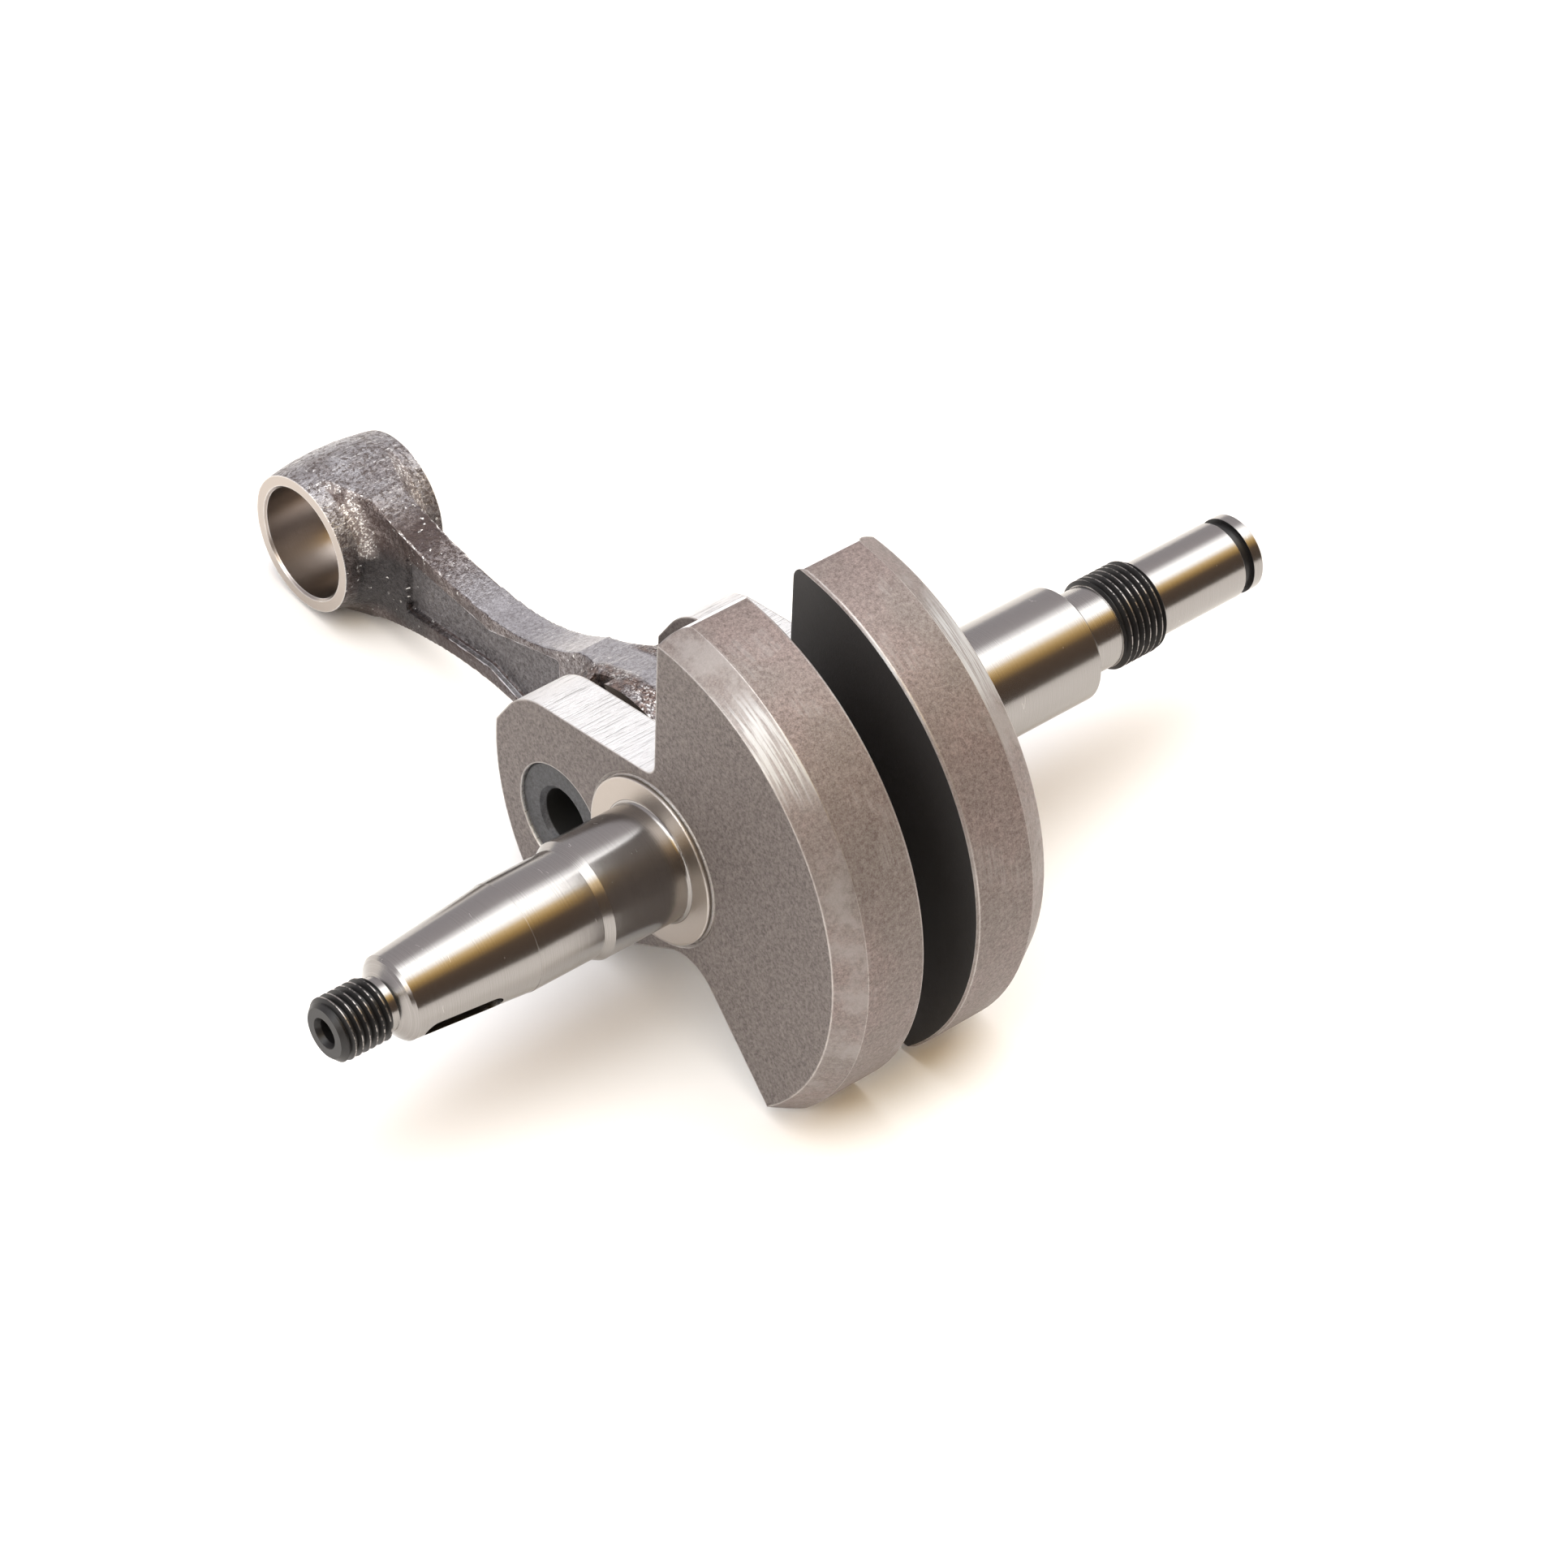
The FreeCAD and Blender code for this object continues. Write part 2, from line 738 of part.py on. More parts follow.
def cut_beside_shank(body, name, axis_shift, radius, blend, reach):
    """Thin the shank on both sides, leaving a hollow blend round one of the rod's ends."""
    face = dim("shank_thickness") / 2
    beyond = dim("small_end_width") / 2 + BEYOND
    for side, word in ((1, "clutch"), (-1, "flywheel")):
        section = new_sketch(body, f"{name}_{word}_section", "XY_Plane", axis_shift=axis_shift)
        turns_left = side > 0
        draw_outline(section, [
            (face * side, reach, None, ""),
            (face * side, radius + blend,
             ((face + blend) * side, radius + blend, blend, turns_left), ""),
            ((face + blend) * side, radius, None, ""),
            (beyond * side, radius, None, ""),
            (beyond * side, reach, None, ""),
        ])
        cut(body, "Groove", f"{name}_{word}", section)


def face_big_end(body):
    """Take both sides of the big end back to its width."""
    half = dim("big_end_width") / 2
    beyond = dim("small_end_width") / 2 + BEYOND
    reach = dim("big_end_radius") + dim("big_end_fillet")
    zero = as_dim(0.0)
    for side, word in ((1, "clutch"), (-1, "flywheel")):
        section = new_sketch(body, f"big_end_{word}_face_section", "XY_Plane")
        draw_polygon(section, [
            (half * side, zero),
            (half * side, reach),
            (beyond * side, reach),
            (beyond * side, zero),
        ])
        cut(body, "Groove", f"big_end_{word}_face", section)


def add_pockets(body):
    """The shallow pocket in each side of the shank, which leaves a rim along both edges."""
    depth = dim("pocket_depth")
    face = dim("shank_thickness") / 2
    big_out = dim("pocket_big_out")
    small_out = dim("pocket_small_out")
    waist = dim("waist_out")
    big_half = dim("pocket_big_half")
    waist_half = dim("pocket_waist_half")
    small_half = dim("pocket_small_half")
    outline = new_sketch(body, "pocket_outline", "YZ_Plane", offset=face)
    draw_polygon(outline, [
        (big_out, -big_half),
        (waist, -waist_half),
        (small_out, -small_half),
        (small_out, small_half),
        (waist, waist_half),
        (big_out, big_half),
    ])
    pocket = cut(body, "Pocket", "clutch_side_pocket", outline, length=depth)
    mirror_feature(body, "flywheel_side_pocket", pocket)


def mirror_feature(body, name, feature):
    """Repeat a feature on the other side of the plane midway between the webs."""
    before = body.Shape.Volume
    mirrored = body.newObject("PartDesign::Mirrored", name)
    mirrored.Originals = [feature]
    mirrored.MirrorPlane = (origin_part(body, "YZ_Plane"), [""])
    body.Tip = mirrored
    DOC.recompute()
    if not body.Shape.Volume < before - 1e-3:
        raise RuntimeError(f"{name} takes nothing away")


def add_bore(body, name, out, radius, width):
    """A through bore with a small chamfer at each face, cut as one turned section."""
    chamfer = dim("bore_chamfer")
    half = width / 2
    section = new_sketch(body, f"{name}_section", "XY_Plane", axis_shift=out)
    draw_polygon(section, [
        (-half - BEYOND, as_dim(0.0)),
        (-half - BEYOND, radius + chamfer),
        (-half, radius + chamfer),
        (-half + chamfer, radius),
        (half - chamfer, radius),
        (half, radius + chamfer),
        (half + BEYOND, radius + chamfer),
        (half + BEYOND, as_dim(0.0)),
    ])
    cut(body, "Groove", name, section)


def add_oil_slots(body):
    """Slots in the big end's faces that let oil into the needle bearing."""
    face = dim("big_end_width") / 2
    half = dim("oil_slot_width") / 2
    inner = dim("cage_inner")
    outer = dim("big_end_radius") + BEYOND
    for word, angle in (("top", dim("oil_slot_angle")), ("base", -dim("oil_slot_angle"))):
        outline = new_sketch(body, f"oil_slot_{word}_outline", "YZ_Plane", offset=face)
        along = (cosine(angle), sine(angle))
        corners = []
        for reach, aside in ((inner, -half), (outer, -half), (outer, half), (inner, half)):
            out = reach * along[0] - aside * along[1]
            height = reach * along[1] + aside * along[0]
            corners.append((out, height))
        draw_polygon(outline, corners)
        slot = cut(body, "Pocket", f"oil_slot_{word}", outline, length=dim("oil_slot_depth"))
        mirror_feature(body, f"oil_slot_{word}_mirrored", slot)


def connecting_rod():
    """The forged rod: big-end ring, waisted shank with pockets, and a barrelled small end."""
    body = new_body("connecting_rod")
    zero = as_dim(0.0)
    big_width = dim("big_end_width")
    outline = new_sketch(body, "big_end_outline", "YZ_Plane", offset=-big_width / 2)
    draw_circle(outline, zero, zero, dim("big_end_radius"))
    pad(body, "big_end", outline, big_width)
    add_shank(body)
    cut_beside_shank(body, "big_blend", zero, dim("big_end_radius"), dim("big_end_fillet"),
                     reach=dim("rod_length") / 2 + BEYOND)
    face_big_end(body)
    small_radius = dim("barrel_face_radius") + 0.1
    cut_beside_shank(body, "small_blend", dim("rod_length"), small_radius,
                     dim("small_end_fillet"), reach=dim("rod_length") / 2 + BEYOND)

    half = dim("small_end_width") / 2
    face = dim("barrel_face_radius")
    crown = dim("barrel_radius") - face
    bulge = (half * half + crown * crown) / (crown * 2)
    section = new_sketch(body, "small_end_section", "XY_Plane", axis_shift=dim("rod_length"))
    draw_outline(section, [
        (half, face, (zero, dim("barrel_radius") - bulge, bulge, True), ""),
        (-half, face, None, ""),
        (-half, zero, None, ""),
        (half, zero, None, ""),
    ])
    revolve(body, "small_end", section)
    add_pockets(body)
    add_bore(body, "big_bore", zero, dim("big_bore_radius"), big_width)
    add_bore(body, "small_bore", dim("rod_length"), dim("small_bore_radius"),
             dim("small_end_width"))
    add_oil_slots(body)
    return body


def big_end_cage():
    """The needle cage: a thin sleeve with one window for each needle."""
    body = new_body("big_end_cage")
    half = dim("cage_width") / 2
    section = new_sketch(body, "cage_section", "XY_Plane")
    draw_polygon(section, [
        (-half, dim("cage_inner")),
        (-half, dim("cage_outer")),
        (half, dim("cage_outer")),
        (half, dim("cage_inner")),
    ])
    revolve(body, "cage_sleeve", section)
    window = new_sketch(body, "window_outline", "XZ_Plane", offset=-dim("cage_outer") - BEYOND)
    long_half = dim("needle_length") / 2 + dim("window_clearance")
    wide_half = dim("needle_radius") + dim("window_clearance")
    draw_polygon(window, [
        (-long_half, -wide_half),
        (long_half, -wide_half),
        (long_half, wide_half),
        (-long_half, wide_half),
    ])
    depth = dim("cage_outer") - dim("cage_inner") + 2 * BEYOND
    pocket = cut(body, "Pocket", "window", window, length=depth, along_normal=True)
    pattern = body.newObject("PartDesign::PolarPattern", "windows")
    pattern.Originals = [pocket]
    pattern.Axis = (origin_part(body, "X_Axis"), [""])
    pattern.Angle = 360.0
    pattern.Occurrences = int(SIZES["needle_count"])
    body.Tip = pattern
    DOC.recompute()
    return body


def needle(name):
    """One bearing needle with rounded ends, drawn on its own axis."""
    body = new_body(name)
    half = dim("needle_length") / 2
    radius = dim("needle_radius")
    edge = dim("needle_end_radius")
    zero = as_dim(0.0)
    section = new_sketch(body, "needle_section", "XY_Plane")
    draw_outline(section, [
        (half, zero, None, ""),
        (half, radius - edge, (half - edge, radius - edge, edge, True), ""),
        (half - edge, radius, None, ""),
        (-half + edge, radius, (-half + edge, radius - edge, edge, True), ""),
        (-half, radius - edge, None, ""),
        (-half, zero, None, ""),
    ])
    revolve(body, "needle_roller", section)
    return body


def turned(angle, out=0.0, height=0.0):
    """A placement that turns a body about X and moves it across the crank axis."""
    turn = FreeCAD.Rotation(FreeCAD.Vector(1, 0, 0), angle)
    return FreeCAD.Placement(FreeCAD.Vector(SIZES["origin_shift"], out, height), turn)


def build():
    """Make every piece, set it in place, and return the bodies."""
    lean = SIZES["crankpin_lean"]
    pin_out = SIZES["throw_length"] * math.cos(math.radians(lean))
    pin_up = SIZES["throw_length"] * math.sin(math.radians(lean))
    bodies = []
    for make in (flywheel_half, clutch_half):
        body = make()
        body.Placement = turned(lean)
        bodies.append(body)
    pin = crankpin()
    pin.Placement = turned(lean, pin_out, pin_up)
    bodies.append(pin)
    rod_angle = lean + SIZES["rod_swing"]
    for make in (connecting_rod, big_end_cage):
        body = make()
        body.Placement = turned(rod_angle, pin_out, pin_up)
        bodies.append(body)
    count = int(SIZES["needle_count"])
    for number in range(count):
        body = needle(f"big_end_needle_{number + 1:02d}")
        angle = rod_angle + 360.0 * number / count
        out = pin_out + SIZES["pitch_radius"] * math.cos(math.radians(angle))
        height = pin_up + SIZES["pitch_radius"] * math.sin(math.radians(angle))
        body.Placement = turned(angle, out, height)
        bodies.append(body)
    DOC.recompute()
    return bodies


def check_and_export(bodies):
    """Stop at any failed feature or bad solid, then write one STEP file for each piece."""
    failed = [item.Name for item in DOC.Objects if {"Invalid", "Error"} & set(item.State)]
    if failed:
        raise RuntimeError(f"failed features: {failed}")
    for body in bodies:
        shape = body.Shape
        if shape.isNull() or not shape.isValid() or len(shape.Solids) != 1:
            raise RuntimeError(f"{body.Label} is not one valid solid")
    os.makedirs("parts", exist_ok=True)
    for body in bodies:
        body.Shape.exportStep(f"parts/{body.Label}.step")
        print(f"{body.Label}: {body.Shape.Volume:.1f} mm3")


check_and_export(build())
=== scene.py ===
"""Looks of a built-up two-stroke crankshaft with its connecting rod.

The turned and milled crank halves, the crankpin and the big-end bearing keep their own solids and
get finishes. The connecting rod is forged again here: a fused blank, hammered and smoothed, then
bored and faced to size. All lengths called "mm" are turned into metres where a mesh is made.
"""

import json
import logging
import math
from dataclasses import dataclass, field
from enum import Enum
from typing import Union

import bmesh
import bpy
from mathutils import Matrix, Vector, noise

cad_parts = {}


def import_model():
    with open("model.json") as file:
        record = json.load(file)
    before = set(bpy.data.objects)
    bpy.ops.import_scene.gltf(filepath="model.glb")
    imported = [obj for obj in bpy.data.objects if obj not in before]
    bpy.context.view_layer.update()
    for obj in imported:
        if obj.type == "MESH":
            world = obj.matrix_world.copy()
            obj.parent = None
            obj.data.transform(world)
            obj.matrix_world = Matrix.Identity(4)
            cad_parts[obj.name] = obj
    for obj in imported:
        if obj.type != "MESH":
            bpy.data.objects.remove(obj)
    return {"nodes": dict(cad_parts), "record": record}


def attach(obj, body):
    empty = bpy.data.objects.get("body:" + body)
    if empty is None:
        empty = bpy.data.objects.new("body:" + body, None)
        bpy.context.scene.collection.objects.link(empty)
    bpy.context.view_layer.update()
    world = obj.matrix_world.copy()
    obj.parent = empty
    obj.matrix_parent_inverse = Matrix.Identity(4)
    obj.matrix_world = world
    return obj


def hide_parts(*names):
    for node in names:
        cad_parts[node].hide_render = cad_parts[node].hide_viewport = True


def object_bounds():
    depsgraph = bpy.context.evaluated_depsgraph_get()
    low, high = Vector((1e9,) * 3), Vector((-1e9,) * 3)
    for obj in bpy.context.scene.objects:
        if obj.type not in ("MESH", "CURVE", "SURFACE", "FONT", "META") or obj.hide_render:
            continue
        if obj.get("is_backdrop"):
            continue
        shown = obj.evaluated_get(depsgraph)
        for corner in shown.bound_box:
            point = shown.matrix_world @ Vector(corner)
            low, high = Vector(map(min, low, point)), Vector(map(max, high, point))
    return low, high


MM = 0.001
LOG = logging.getLogger("crankshaft")
Triple = tuple[float, float, float]
Colour = Triple
Feed = Union[float, int, tuple, Vector, bpy.types.NodeSocket]


class End(Enum):
    """The two ends of the connecting rod."""

    BIG = "big"
    SMALL = "small"


# ---------------------------------------------------------------------------------------------
# Node helpers
# ---------------------------------------------------------------------------------------------


class Graph:
    """Short ways to place and link nodes in one shader or geometry tree."""

    def __init__(self, tree: bpy.types.NodeTree) -> None:
        """Keep the tree that nodes are added to."""
        self.tree = tree

    def add(self, kind: str, **settings: object) -> bpy.types.Node:
        """Add a node.

        Args:
            kind: The node's type name.
            settings: Attributes to set on the node.

        Returns:
            The new node.
        """
        node = self.tree.nodes.new(kind)
        for name, value in settings.items():
            setattr(node, name, value)
        return node

    def feed(self, socket: bpy.types.NodeSocket, value: Feed) -> None:
        """Link a socket to another, or set its number, vector or colour.

        Args:
            socket: The input socket.
            value: The number, vector, colour or socket to read.
        """
        if isinstance(value, bpy.types.NodeSocket):
            self.tree.links.new(value, socket)
            return
        if socket.type == "RGBA" and len(value) == 3:
            value = (*value, 1.0)
        socket.default_value = value

    def math(self, operation: str, first: Feed, second: Feed = 0.0,
             clamp: bool = False) -> bpy.types.NodeSocket:
        """Add a Math node and return its value.

        Args:
            operation: The node's operation.
            first: The first value.
            second: The second value.
            clamp: Whether to keep the result between 0 and 1.

        Returns:
            The result.
        """
        node = self.add("ShaderNodeMath", operation=operation, use_clamp=clamp)
        self.feed(node.inputs[0], first)
        self.feed(node.inputs[1], second)
        return node.outputs[0]

    def above(self, value: Feed, edge: Feed) -> bpy.types.NodeSocket:
        """Return 1 where a value is over an edge, else 0."""
        return self.math("GREATER_THAN", value, edge)

    def below(self, value: Feed, edge: float) -> bpy.types.NodeSocket:
        """Return 1 where a value is under an edge, else 0."""
        return self.math("LESS_THAN", value, edge)

    def both(self, *masks: Feed) -> bpy.types.NodeSocket:
        """Return the product of several masks.

        Args:
            masks: Values between 0 and 1.

        Returns:
            The product.
        """
        result = masks[0]
        for mask in masks[1:]:
            result = self.math("MULTIPLY", result, mask)
        return result

    def either(self, *masks: Feed) -> bpy.types.NodeSocket:
        """Return the largest of several masks.

        Args:
            masks: Values between 0 and 1.

        Returns:
            The largest mask.
        """
        result = masks[0]
        for mask in masks[1:]:
            result = self.math("MAXIMUM", result, mask)
        return result

    def between(self, value: Feed, low: float, high: float) -> bpy.types.NodeSocket:
        """Return 1 where a value lies between two edges."""
        return self.both(self.above(value, low), self.below(value, high))

    def without(self, mask: Feed) -> bpy.types.NodeSocket:
        """Return one minus a mask."""
        return self.math("SUBTRACT", 1.0, mask, clamp=True)

    def rise(self, value: Feed, low: float, high: float, start: float = 0.0,
             end: float = 1.0) -> bpy.types.NodeSocket:
        """Return a smooth step of a value from start to end.

        Args:
            value: The number, vector, colour or socket to read.
            low: Where the step starts.
            high: Where the step ends.
            start: The value before the step.
            end: The value after the step.

        Returns:
            The stepped value.
        """
        node = self.add("ShaderNodeMapRange", interpolation_type="SMOOTHSTEP")
        for index, part in enumerate((value, low, high, start, end)):
            self.feed(node.inputs[index], part)
        return node.outputs[0]

    def blend(self, factor: Feed, first: Feed, second: Feed) -> bpy.types.NodeSocket:
        """Return a mix of two colours.

        Args:
            factor: The share of the second value.
            first: The first value.
            second: The second value.

        Returns:
            The mixed colour.
        """
        node = self.add("ShaderNodeMix", data_type="RGBA")
        self.feed(node.inputs["Factor"], factor)
        self.feed(node.inputs[6], first)
        self.feed(node.inputs[7], second)
        return node.outputs[2]

    def lerp(self, factor: Feed, first: Feed, second: Feed) -> bpy.types.NodeSocket:
        """Return a mix of two numbers.

        Args:
            factor: The share of the second value.
            first: The first value.
            second: The second value.

        Returns:
            The mixed number.
        """
        node = self.add("ShaderNodeMix", data_type="FLOAT")
        self.feed(node.inputs["Factor"], factor)
        self.feed(node.inputs[2], first)
        self.feed(node.inputs[3], second)
        return node.outputs[0]

    def scale(self, vector: Feed, factors: tuple) -> bpy.types.NodeSocket:
        """Return a vector stretched by three factors.

        Args:
            vector: Millimetre coordinates.
            factors: One factor for each axis.

        Returns:
            The stretched vector.
        """
        node = self.add("ShaderNodeVectorMath", operation="MULTIPLY")
        self.feed(node.inputs[0], vector)
        self.feed(node.inputs[1], factors)
        return node.outputs[0]

    def noise(self, vector: Feed, scale: Feed, detail: float = 2.0,
              roughness: float = 0.5) -> bpy.types.NodeSocket:
        """Return a noise value over a vector in millimetres.

        Args:
            vector: Millimetre coordinates.
            scale: Cells for each millimetre.
            detail: How many finer layers are added.
            roughness: How strong the finer layers are.

        Returns:
            A value about one half.
        """
        node = self.add("ShaderNodeTexNoise")
        self.feed(node.inputs["Vector"], vector)
        self.feed(node.inputs["Scale"], scale)
        self.feed(node.inputs["Detail"], detail)
        self.feed(node.inputs["Roughness"], roughness)
        return node.outputs[0]

    def bend(self, vector: Feed, scale: float, amount: float) -> bpy.types.NodeSocket:
        """Return a vector pushed about by a noise, so that patterns on it turn uneven.

        Args:
            vector: Millimetre coordinates.
            scale: Cells for each millimetre.
            amount: The longest push, in millimetres.

        Returns:
            The pushed vector.
        """
        push = self.add("ShaderNodeTexNoise")
        self.feed(push.inputs["Vector"], vector)
        self.feed(push.inputs["Scale"], scale)
        moved = self.add("ShaderNodeVectorMath", operation="ADD")
        self.feed(moved.inputs[0], vector)
        self.feed(moved.inputs[1], self.scale(push.outputs[1], (amount,) * 3))
        return moved.outputs[0]

    def group(self, tree: bpy.types.NodeTree, **values: Feed) -> bpy.types.Node:
        """Place a group and feed its named inputs (underscores stand for spaces).

        Args:
            tree: The shader group.
            values: Input values by name.

        Returns:
            The group node.
        """
        node = self.add("ShaderNodeGroup", node_tree=tree)
        for name, value in values.items():
            self.feed(node.inputs[name.replace("_", " ")], value)
        return node


def new_group(name: str, inputs: dict[str, tuple], outputs: dict[str, str]) -> tuple:
    """Start a shader group.

    Args:
        name: The group's name.
        inputs: Socket types and first values by name.
        outputs: Socket types by name.

    Returns:
        The tree, its Graph, its input node and its output node.
    """
    tree = bpy.data.node_groups.new(name, "ShaderNodeTree")
    for label, (kind, value) in inputs.items():
        socket = tree.interface.new_socket(label, in_out="INPUT", socket_type=kind)
        if value is not None:
            socket.default_value = value
    for label, kind in outputs.items():
        tree.interface.new_socket(label, in_out="OUTPUT", socket_type=kind)
    graph = Graph(tree)
    return tree, graph, graph.add("NodeGroupInput"), graph.add("NodeGroupOutput")


FLOAT = "NodeSocketFloat"
VECTOR = "NodeSocketVector"


class SurfaceKit:
    """The shader groups that more than one finish uses."""

    def __init__(self) -> None:
        """Build every group once."""
        self.space = self.part_space()
        self.edges = self.worn_edges()
        self.grain = self.fine_grain()
        self.lines = self.tool_lines()
        self.nicks = self.handling_nicks()

    def part_space(self) -> bpy.types.NodeTree:
        """Millimetre coordinates about an axis along X through a centre, turned about it.

        Returns:
            The group.
        """
        tree, g, given, result = new_group(
            "part_space",
            {"Centre": (VECTOR, (0, 0, 0)), "Turn": (FLOAT, 0.0)},
            {"Place": VECTOR, "Along": FLOAT, "Out": FLOAT, "Up": FLOAT, "Radius": FLOAT,
             "Facing": FLOAT},
        )
        coordinates = g.add("ShaderNodeTexCoord")
        moved = g.add("ShaderNodeVectorMath", operation="SUBTRACT")
        g.feed(moved.inputs[0], coordinates.outputs["Object"])
        g.feed(moved.inputs[1], given.outputs["Centre"])
        in_mm = g.scale(moved.outputs[0], (1 / MM,) * 3)
        turned = g.add("ShaderNodeVectorRotate", rotation_type="X_AXIS", invert=True)
        g.feed(turned.inputs["Vector"], in_mm)
        g.feed(turned.inputs["Angle"], given.outputs["Turn"])
        parts = g.add("ShaderNodeSeparateXYZ")
        g.feed(parts.inputs[0], turned.outputs[0])
        squares = [g.math("POWER", g.math("ABSOLUTE", parts.outputs[i]), 2.0) for i in (1, 2)]
        facing = g.add("ShaderNodeSeparateXYZ")
        g.feed(facing.inputs[0], coordinates.outputs["Normal"])
        g.feed(result.inputs["Place"], turned.outputs[0])
        g.feed(result.inputs["Along"], parts.outputs[0])
        g.feed(result.inputs["Out"], parts.outputs[1])
        g.feed(result.inputs["Up"], parts.outputs[2])
        g.feed(result.inputs["Radius"], g.math("SQRT", g.math("ADD", *squares)))
        g.feed(result.inputs["Facing"], g.math("ABSOLUTE", facing.outputs[0]))
        return tree

    def worn_edges(self) -> bpy.types.NodeTree:
        """Bright worn edges: where a rounded normal leaves the true one, broken up by noise.

        Returns:
            The group.
        """
        tree, g, given, result = new_group(
            "worn_edges",
            {"Vector": (VECTOR, None), "Width": (FLOAT, 0.15), "Break": (FLOAT, 0.5)},
            {"Mask": FLOAT},
        )
        rounded = g.add("ShaderNodeBevel", samples=6)
        g.feed(rounded.inputs["Radius"], g.math("MULTIPLY", given.outputs["Width"], MM))
        true_normal = g.add("ShaderNodeNewGeometry")
        closeness = g.add("ShaderNodeVectorMath", operation="DOT_PRODUCT")
        g.feed(closeness.inputs[0], rounded.outputs[0])
        g.feed(closeness.inputs[1], true_normal.outputs["Normal"])
        turn = g.math("SUBTRACT", 1.0, closeness.outputs["Value"])
        worn = g.rise(turn, 0.008, 0.06)
        patchy = g.rise(g.noise(given.outputs["Vector"], 0.9, 4.0, 0.65), 0.3, 0.62)
        kept = g.lerp(given.outputs["Break"], 1.0, patchy)
        g.feed(result.inputs["Mask"], g.both(worn, kept))
        return tree

    def fine_grain(self) -> bpy.types.NodeTree:
        """Blasted or forged grain: a speckle value and a height, both about one half.

        Returns:
            The group.
        """
        tree, g, given, result = new_group(
            "fine_grain",
            {"Vector": (VECTOR, None), "Size": (FLOAT, 0.3), "Contrast": (FLOAT, 1.0)},
            {"Speckle": FLOAT, "Height": FLOAT},
        )
        frequency = g.math("DIVIDE", 1.0, given.outputs["Size"])
        fine = g.noise(given.outputs["Vector"], frequency, 3.0, 0.6)
        half = g.math("MULTIPLY", frequency, 0.37)
        broad = g.noise(given.outputs["Vector"], half, 2.0, 0.5)
        mixed = g.lerp(0.4, fine, broad)
        offset = g.math("SUBTRACT", mixed, 0.5)
        spread = g.math("MULTIPLY", offset, g.math("MULTIPLY", given.outputs["Contrast"], 2.4))
        g.feed(result.inputs["Speckle"], g.math("ADD", spread, 0.5, clamp=True))
        g.feed(result.inputs["Height"], mixed)
        return tree

    def tool_lines(self) -> bpy.types.NodeTree:
        """Fine parallel tool marks along one coordinate, uneven in depth.

        Returns:
            The group.
        """
        tree, g, given, result = new_group(
            "tool_lines",
            {"Across": (FLOAT, 0.0), "Vector": (VECTOR, None), "Pitch": (FLOAT, 0.2)},
            {"Height": FLOAT},
        )
        step = g.math("DIVIDE", given.outputs["Across"], given.outputs["Pitch"])
        line = g.add("ShaderNodeTexNoise", noise_dimensions="1D")
        g.feed(line.inputs["W"], step)
        g.feed(line.inputs["Scale"], 1.0)
        g.feed(line.inputs["Detail"], 3.0)
        g.feed(line.inputs["Roughness"], 0.7)
        depth = g.rise(g.noise(given.outputs["Vector"], 0.35, 2.0), 0.25, 0.75, 0.45, 1.0)
        centred = g.math("SUBTRACT", line.outputs[0], 0.5)
        g.feed(result.inputs["Height"], g.math("ADD", g.both(centred, depth), 0.5))
        return tree

    def handling_nicks(self) -> bpy.types.NodeTree:
        """Sparse short scratches and dings from handling.

        Returns:
            The group.
        """
        tree, g, given, result = new_group(
            "handling_nicks",
            {"Vector": (VECTOR, None), "Amount": (FLOAT, 0.5)},
            {"Mask": FLOAT},
        )
        bent = g.bend(given.outputs["Vector"], 0.25, 3.0)
        cells = g.add("ShaderNodeTexVoronoi", feature="DISTANCE_TO_EDGE")
        g.feed(cells.inputs["Vector"], g.scale(bent, (0.55, 0.16, 0.2)))
        g.feed(cells.inputs["Scale"], 1.0)
        thin = g.rise(cells.outputs["Distance"], 0.004, 0.012, 1.0, 0.0)
        where = g.noise(given.outputs["Vector"], 0.32, 3.0, 0.6)
        edge = g.math("SUBTRACT", 0.74, g.math("MULTIPLY", given.outputs["Amount"], 0.16))
        g.feed(result.inputs["Mask"], g.both(thin, g.math("GREATER_THAN", where, edge)))
        return tree


@dataclass(frozen=True)
class Metal:
    """One look of bare or oxidised steel."""

    colour: Colour
    roughness: float
    metallic: float = 1.0


